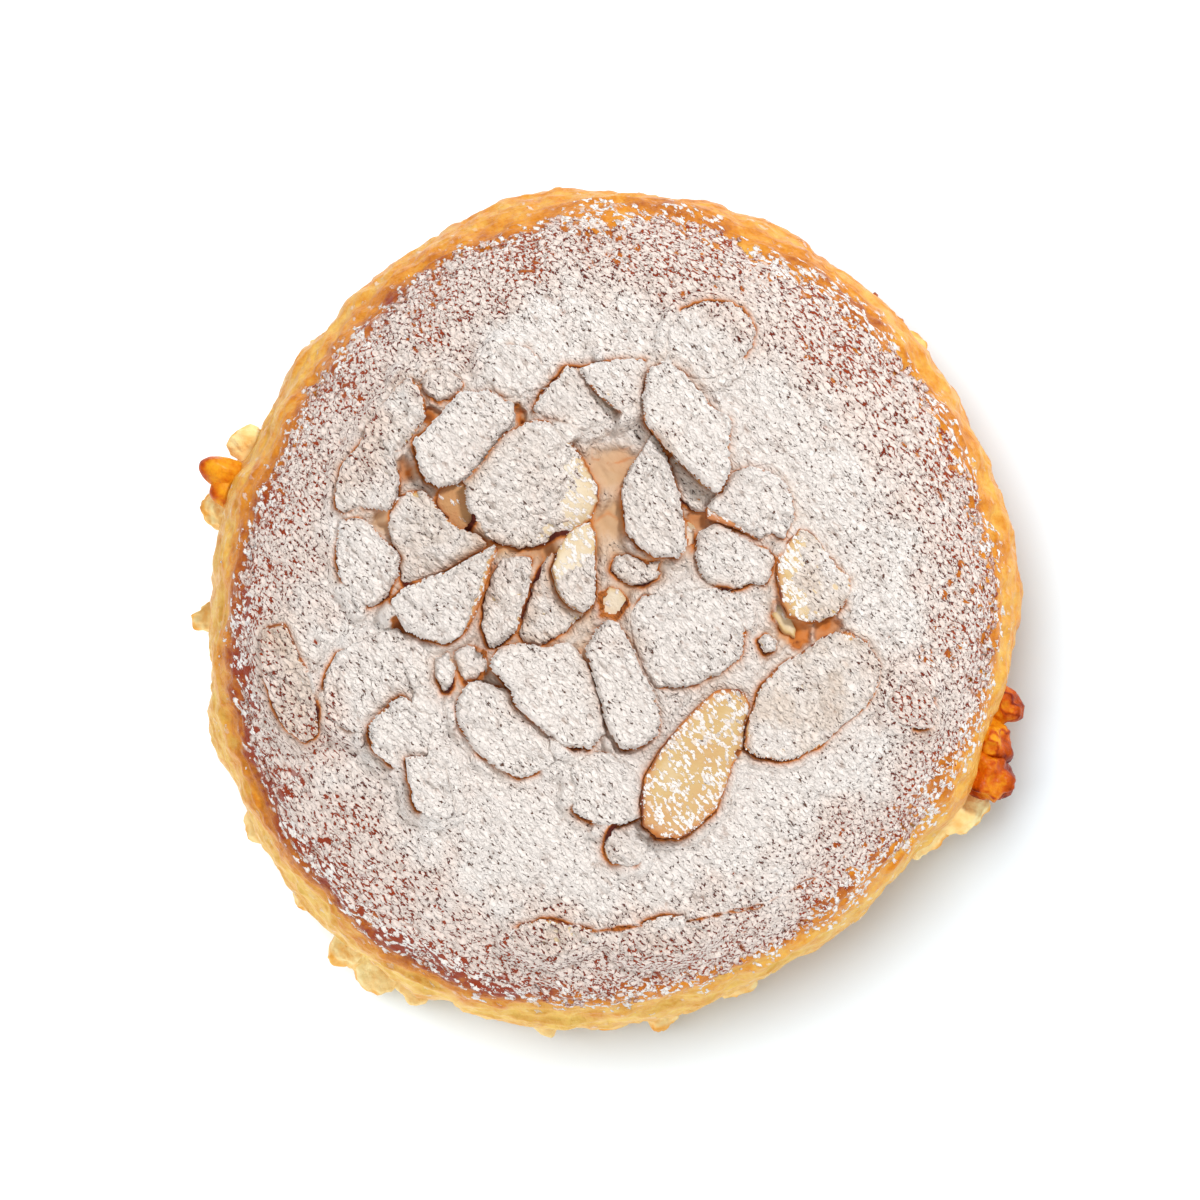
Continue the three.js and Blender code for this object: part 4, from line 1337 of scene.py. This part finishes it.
def sugar_texture(x, y, share, seed):
    """Clumps on clumps of sugar in millimetres: large ones only where it lies thick."""
    thick = ease(share, 0.7, 0.95)
    coarse = 0.34 * thick * lumps(x, y, COARSE_CLUMP, 0.85, seed)
    middle_height = (0.12 + 0.16 * thick) * ease(share, 0.5, 0.72)
    middle = middle_height * lumps(x, y, MIDDLE_CLUMP, 0.45 + 0.4 * thick, seed + 10)
    fine = (0.25 - 0.06 * thick) * lumps(x, y, FINE_CLUMP, 0.2 + 0.7 * share, seed + 20)
    pits = 0.3 * lumps(x, y, PIT, 0.08, seed + 30)
    return coarse + middle + fine - pits


def shelter(spots):
    """1 in the middle of the crown, where the flakes lie close, and 0 away from it."""
    away = np.hypot(*(spots - SHELTER_MIDDLE).T) + SHELTER_BAYS.at(spots)
    return 1 - ease(away, *SHELTER_RADIUS)


def edge_line_and_shadow(gap, spots, lee=0.5):
    """The brown line under a flake's edge, part toasted crust and part painted shadow, broader on its lee,
    with painted soft shade deeper in shelter.
    """
    uneven = np.clip(0.75 + STAIN_PATCHES.at(spots), 0.1, 1.2) * (0.65 + 0.6 * lee)
    off = np.maximum(gap, 0)
    painted_soft_shade = (0.12 + 0.2 * shelter(spots)) * np.exp(-off / 0.55)
    return np.clip((np.exp(-off / (0.1 + 0.15 * lee)) + painted_soft_shade) * uneven, 0, 1)


def edge_blush_and_shade(gap, spots):
    """The peach tint close to a flake, part thin sugar on toasted dough and part painted warm shade, wider
    where the flakes lie close.
    """
    uneven = np.clip(0.85 + BLUSH_PATCHES.at(spots), 0.1, 1.4)
    sheltered = shelter(spots)
    fading = np.exp(-np.maximum(gap, 0) / (0.7 + 0.5 * sheltered))
    return np.clip((0.4 + 0.35 * sheltered) * fading * uneven, 0, 1)


def crevice_width(share, spots, open_air):
    """How far the crumbs of sugar part: little on the crown and close to a flake, most towards the rim."""
    return 0.105 * ease(share, 0.99, 0.74) + CREVICE_PATCHES.at(spots) - 0.1 * (1 - open_air) - 0.001


def drift_grid():
    """Points on the creased crust, a little off an even square grid, and how many of them make a row."""
    half = SUGAR_END + SUGAR_MARGIN
    line = np.arange(-half, half, SUGAR_STEP)
    x, y = (axis.ravel() for axis in np.meshgrid(line, line))
    x = x + SUGAR_JITTER * SUGAR_STEP * waviness(np.stack([x, y], -1) * JITTER_WAVES, JITTER_SEEDS[0])
    y = y + SUGAR_JITTER * SUGAR_STEP * waviness(np.stack([y, x], -1) * JITTER_WAVES, JITTER_SEEDS[1])
    points = np.stack([x, y, crown_height(x, y)], -1)
    points[:, 2] += crust_wrinkles(points)
    return x, y, points, len(line)


def bank_against(flakes, flat, crust, bare, brown):
    """How sugar meets the flakes, point by point: the gap to the nearest edge, how high the sugar banks up
    and how high it may lie over the crust, its stain and painted shade, and how clear it is of a peach tint
    and painted warm shade."""
    x, y = (part.copy() for part in flat.T)
    gap, stain_and_shade, clear_of_blush_and_shade = np.full(x.shape, FAR_OFF), brown, 1 - 0.85 * bare
    nearest, second = np.full(x.shape, FAR_OFF), np.full(x.shape, FAR_OFF)
    banked, lid = np.full(x.shape, -TOO_HIGH), np.full(x.shape, TOO_HIGH)
    for flake in flakes:
        every_off = inside_by(x, y, flake.outline())
        near = np.flatnonzero(every_off < BANK_WIDTH)
        off, spots = every_off[near], flat[near]
        buried = flake.buried(spots)
        top = flake.top_height(*spots.T) - crust[near]
        past, under = np.maximum(off, 0), np.maximum(-off - 0.3, 0)
        over_edge = top + BANK_RISE - 0.35 * past - 2.5 * under
        below_edge = np.minimum(top - OPEN_EDGE_DROP - 0.2 * past, BANK_MOST) - 0.8 * bare[near]
        foot = over_edge * buried + below_edge * (1 - buried) - 3 * (1 - ease(off, BANK_WIDTH, 0.8))
        banked[near] = np.maximum(banked[near], foot)
        lid[near] = np.where(off < -0.5, np.minimum(lid[near], top - OPEN_EDGE_DROP), lid[near])
        gap[near] = np.minimum(gap[near], off + 1.2 * buried * (off > 0))
        apart = past + 3 * buried
        second[near] = np.minimum(second[near], np.maximum(nearest[near], apart))
        nearest[near] = np.minimum(nearest[near], apart)
        # Painted shadow under the flake's edge where it stands open, broader and darker on the lee
        lee = flake.lee(spots) if flake.open_side is None else np.maximum(flake.lee(spots), 1 - buried)
        stain_and_shade[near] = np.maximum(stain_and_shade[near], edge_line_and_shadow(off, spots, lee) * (1 - buried))
        # Peach tint beside the flake, partly painted warm shade
        clear_of_blush_and_shade[near] *= 1 - edge_blush_and_shade(off, spots) * (1 - 0.9 * buried)
    # Painted shade in the narrow gaps where two flakes lie close
    pinched_shade = (1 - ease(nearest + second, 0.4, 1.8)) * shelter(flat) * (0.3 + PINCHED_PATCHES.at(flat))
    return gap, banked, lid, np.maximum(stain_and_shade, pinched_shade), clear_of_blush_and_shade


def make_drift(flakes, finish):
    """The blanket of sugar on the crown, and the drift round it that thins to specks at the rim."""
    x, y, points, row = drift_grid()
    flat = np.stack([x, y], -1)
    share = dust_share(x, y)
    bare, brown = bareness(x, y)
    gap, banked, lid, stain_and_shade, clear_of_blush_and_shade = bank_against(flakes, flat, points[:, 2], bare, brown)
    open_air = ease(gap, 0.0, 1.2) * (1 - bare)
    crack = from_crack(flat) + CRACK_WANDER.at(flat)

    blanket = np.interp(share, *zip(*SUGAR_BLANKET)) + BLANKET_SWELLS.at(flat) * ease(share, 0.6, 0.9)
    thick = blanket + sugar_texture(x, y, share, BLANKET_SEED) * (0.25 + 0.75 * open_air)
    thick = thick - 0.1 * (1 - ease(gap, 0.0, 0.35))
    thick = np.maximum(thick, banked + (0.2 + 0.5 * open_air) * sugar_texture(x, y, share, BANK_SEED))
    thick = np.minimum(thick, lid) - 0.5 * (1 - ease(crack, 0.0, 0.16))
    outward = np.hypot(x, y) / (BUN_RADIUS * outline_scale(np.arctan2(y, x)))
    thick = thick - 0.6 * ease(outward, 0.945, 0.985)
    thick = np.where(sugar_reach(x, y) > SUGAR_END, -1, thick)
    points[:, 2] += np.maximum(thick, SUGAR_SUNK)
    triangles = keep_triangles(grid_triangles(row, row), thick, gap < -1.2)
    stain_and_shade = np.maximum(stain_and_shade, 0.6 * (1 - ease(crack, 0.0, 0.3)))
    values = {"thick": ease(thick, SUGAR_SUNK, 0.06), "stain_and_shade": stain_and_shade, "blush_and_shade": 1 - clear_of_blush_and_shade}
    values["crevice"] = crevice_width(share, flat, open_air)
    outside = sugar_reach(x, y)[triangles].mean(1) > SUGAR_CROWN
    for name, part in (("sugar_blanket", triangles[~outside]), ("sugar_drift", triangles[outside])):
        add_piece(name, mesh_from(name, points, part, values), finish, "sugar")


def make_flake_sugar(flakes, finish):
    """Sugar lying on the flakes, held back from their edges and from what lies over them."""
    shapes = []
    first_seed, seed_step = FLAKE_SUGAR_SEEDS
    for index, flake in enumerate(flakes):
        spans = [np.arange(-half * 1.15, half * 1.15, SUGAR_STEP) for half in flake.halves]
        a, b = (axis.ravel() for axis in np.meshgrid(*spans))
        share, inset = flake.share_of(a, b)
        points = flake.in_bun(a, b, flake.surface(a, b, np.minimum(share, 1)))
        x, y = points[:, 0], points[:, 1]
        gap = np.full(a.shape, FAR_OFF)
        for above in flakes[index + 1 :]:
            gap = np.minimum(gap, inside_by(x, y, above.outline(), COVERING_REACH))
        spots = np.stack([x, y], -1)
        seed = first_seed + seed_step * index
        cover = cover_on(flake, points)
        blanket = 0.9 * cover - 0.68 + COVER_SWELLS.at(spots, seed)
        edge = inset + COVER_EDGE.at(spots, seed)
        thick = blanket + sugar_texture(x, y, cover, seed) * (0.6 + 0.65 * ease(gap, 0, 1))
        thick = thick - 0.9 * (1 - ease(edge, -0.05, 0.2)) - 0.3 * (1 - ease(gap, 0.0, 0.3))
        points = points + np.maximum(thick, SUGAR_SUNK)[:, None] * flake.ways[2]
        hidden = (gap < -0.8) | (share > 1.0)
        kept = keep_triangles(grid_triangles(len(spans[1]), len(spans[0])), thick, hidden)
        tint = np.clip(1.6 * (0.94 - flake.cover), 0, 0.2)
        tint = tint * np.clip(0.8 + COVER_PATCHES.at(spots, seed), 0, 1.6)
        # Painted shadow and painted warm shade on this sugar under the edge of a flake lying over it
        blush_and_shade = np.maximum(edge_blush_and_shade(gap, spots), tint)
        values = {"thick": np.ones(len(x)), "stain_and_shade": edge_line_and_shadow(gap, spots), "blush_and_shade": blush_and_shade}
        values["crevice"] = crevice_width(dust_share(x, y), spots, ease(gap, 0.0, 1.0))
        shapes.append((points, kept, values))
    add_piece("sugar_on_almonds", mesh_from("sugar_on_almonds", *join_shapes(shapes)), finish, "sugar")


GRAIN = ball(1)


def grain_size(draw, least, more):
    """Most grains are small, and a few are large."""
    return least + more * draw.random() ** 2


def grain_shape(draw, spot, size):
    """One squashed, uneven grain of sugar."""
    shape, triangles = GRAIN
    uneven = (0.7 + 0.6 * draw.random((1, 3))) * (0.85 + 0.3 * draw.random((len(shape), 1)))
    whole, none = np.ones(len(shape)), np.zeros(len(shape))
    values = {"thick": whole, "stain_and_shade": none, "blush_and_shade": none, "crevice": none - 0.2}
    return shape * size * uneven + spot, triangles, values


def make_grains(flakes, finish):
    """Loose grains: over the crust where the blanket breaks up, and along the edges of the flakes."""
    draw = np.random.default_rng(GRAIN_SEED)
    shapes = []
    reach = LOOSE_GRAIN_START + LOOSE_GRAIN_BAND * draw.random(LOOSE_GRAINS * 2) ** 0.7
    angle = draw.random(LOOSE_GRAINS * 2) * 2 * math.pi
    x, y = reach * np.cos(angle), reach * np.sin(angle)
    kept = draw.random(LOOSE_GRAINS * 2) < 0.1 + dust_share(x, y)
    x, y = x[kept][:LOOSE_GRAINS], y[kept][:LOOSE_GRAINS]
    for spot in zip(x, y, crown_height(x, y)):
        size = grain_size(draw, *LOOSE_GRAIN_SIZE)
        shapes.append(grain_shape(draw, np.array(spot) + (0, 0, 0.5 * size), size))
    for flake in flakes:
        if flake.cover < EDGE_GRAIN_COVER:
            continue
        count = int(EDGE_GRAINS_PER_MM * math.pi * flake.halves.sum())
        turn = draw.random(count) * 2 * math.pi - math.pi
        share = 1.01 - 0.1 * draw.random(count) ** 2
        edge = flake.edge_reach(turn) * share
        a, b = np.cos(turn) * edge * flake.halves[0], np.sin(turn) * edge * flake.halves[1]
        for spot in flake.in_bun(a, b, flake.surface(a, b, np.minimum(share, 1))):
            shapes.append(grain_shape(draw, spot, grain_size(draw, *EDGE_GRAIN_SIZE)))
    add_piece("sugar_grains", mesh_from("sugar_grains", *join_shapes(shapes)), finish, "sugar")


def aim(thing, target):
    thing.rotation_mode = "QUATERNION"
    thing.rotation_quaternion = (target - thing.location).to_track_quat("-Z", "Y")


def add_sun(name, azimuth, elevation, strength, softness):
    """A soft light from far off: azimuth is turned from +X towards +Y."""
    light = bpy.data.lights.new(name, "SUN")
    light.energy = strength
    light.angle = math.radians(softness)
    lamp = bpy.data.objects.new(name, light)
    bpy.context.scene.collection.objects.link(lamp)
    turn, rise = math.radians(azimuth), math.radians(elevation)
    lamp.location = (math.cos(turn) * math.cos(rise), math.sin(turn) * math.cos(rise), math.sin(rise))
    aim(lamp, lamp.location * 0)
    return lamp


def make_sky():
    scene = bpy.context.scene
    scene.view_settings.view_transform = "Standard"
    world = bpy.data.worlds.new("Studio")
    world.use_nodes = True
    sky = world.node_tree.nodes["Background"]
    sky.inputs["Color"].default_value = SKY_TINT
    sky.inputs["Strength"].default_value = SKY_STRENGTH
    scene.world = world


def make_table():
    corners = ((-1, -1), (1, -1), (1, 1), (-1, 1))
    spots = np.array([(TABLE_HALF * x, TABLE_HALF * y, -TABLE_DROP) for x, y in corners])
    mesh = mesh_from("table", spots, np.array([[0, 1, 2], [0, 2, 3]]))
    mesh.materials.append(table_finish())
    table = bpy.data.objects.new("table", mesh)
    bpy.context.scene.collection.objects.link(table)
    table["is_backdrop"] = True
    return table


def add_lamps(table):
    """The key and the fill light only the bun, and a third lamp only the table: their shadows differ."""
    key = add_sun("key", *KEY)
    fill = add_sun("fill", *FILL)
    table_light = add_sun("table_light", *TABLE_LIGHT)
    on_bun = bpy.data.collections.new("lit_by_key")
    on_table = bpy.data.collections.new("lit_by_table_light")
    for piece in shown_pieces():
        on_bun.objects.link(piece)
    on_table.objects.link(table)
    key.light_linking.receiver_collection = on_bun
    fill.light_linking.receiver_collection = on_bun
    table_light.light_linking.receiver_collection = on_table


def add_camera():
    """A long lens straight above the bun that frames it as the photo does."""
    camera = bpy.data.cameras.new("camera")
    camera.sensor_width = SENSOR_WIDTH
    across = PHOTO_SIDE / PHOTO_PIXELS_PER_MM
    camera.lens = camera.sensor_width * (CAMERA_HEIGHT - WAIST_HEIGHT) / across
    camera.clip_start, camera.clip_end = CAMERA_CLIP
    holder = bpy.data.objects.new("camera", camera)
    middle_x, middle_y = from_photo(PHOTO_SIDE / 2, PHOTO_SIDE / 2)
    holder.location = (middle_x * MM, middle_y * MM, CAMERA_HEIGHT * MM)
    bpy.context.scene.collection.objects.link(holder)
    bpy.context.scene.camera = holder


make_crust()
make_crags()
almond = almond_finish()
flakes = make_flakes(almond)
chips = make_chips(almond)
sugar = sugar_finish()
make_drift(chips + flakes, sugar)
make_flake_sugar(chips + flakes, sugar)
make_grains(flakes, sugar)
make_sky()
add_lamps(make_table())
add_camera()
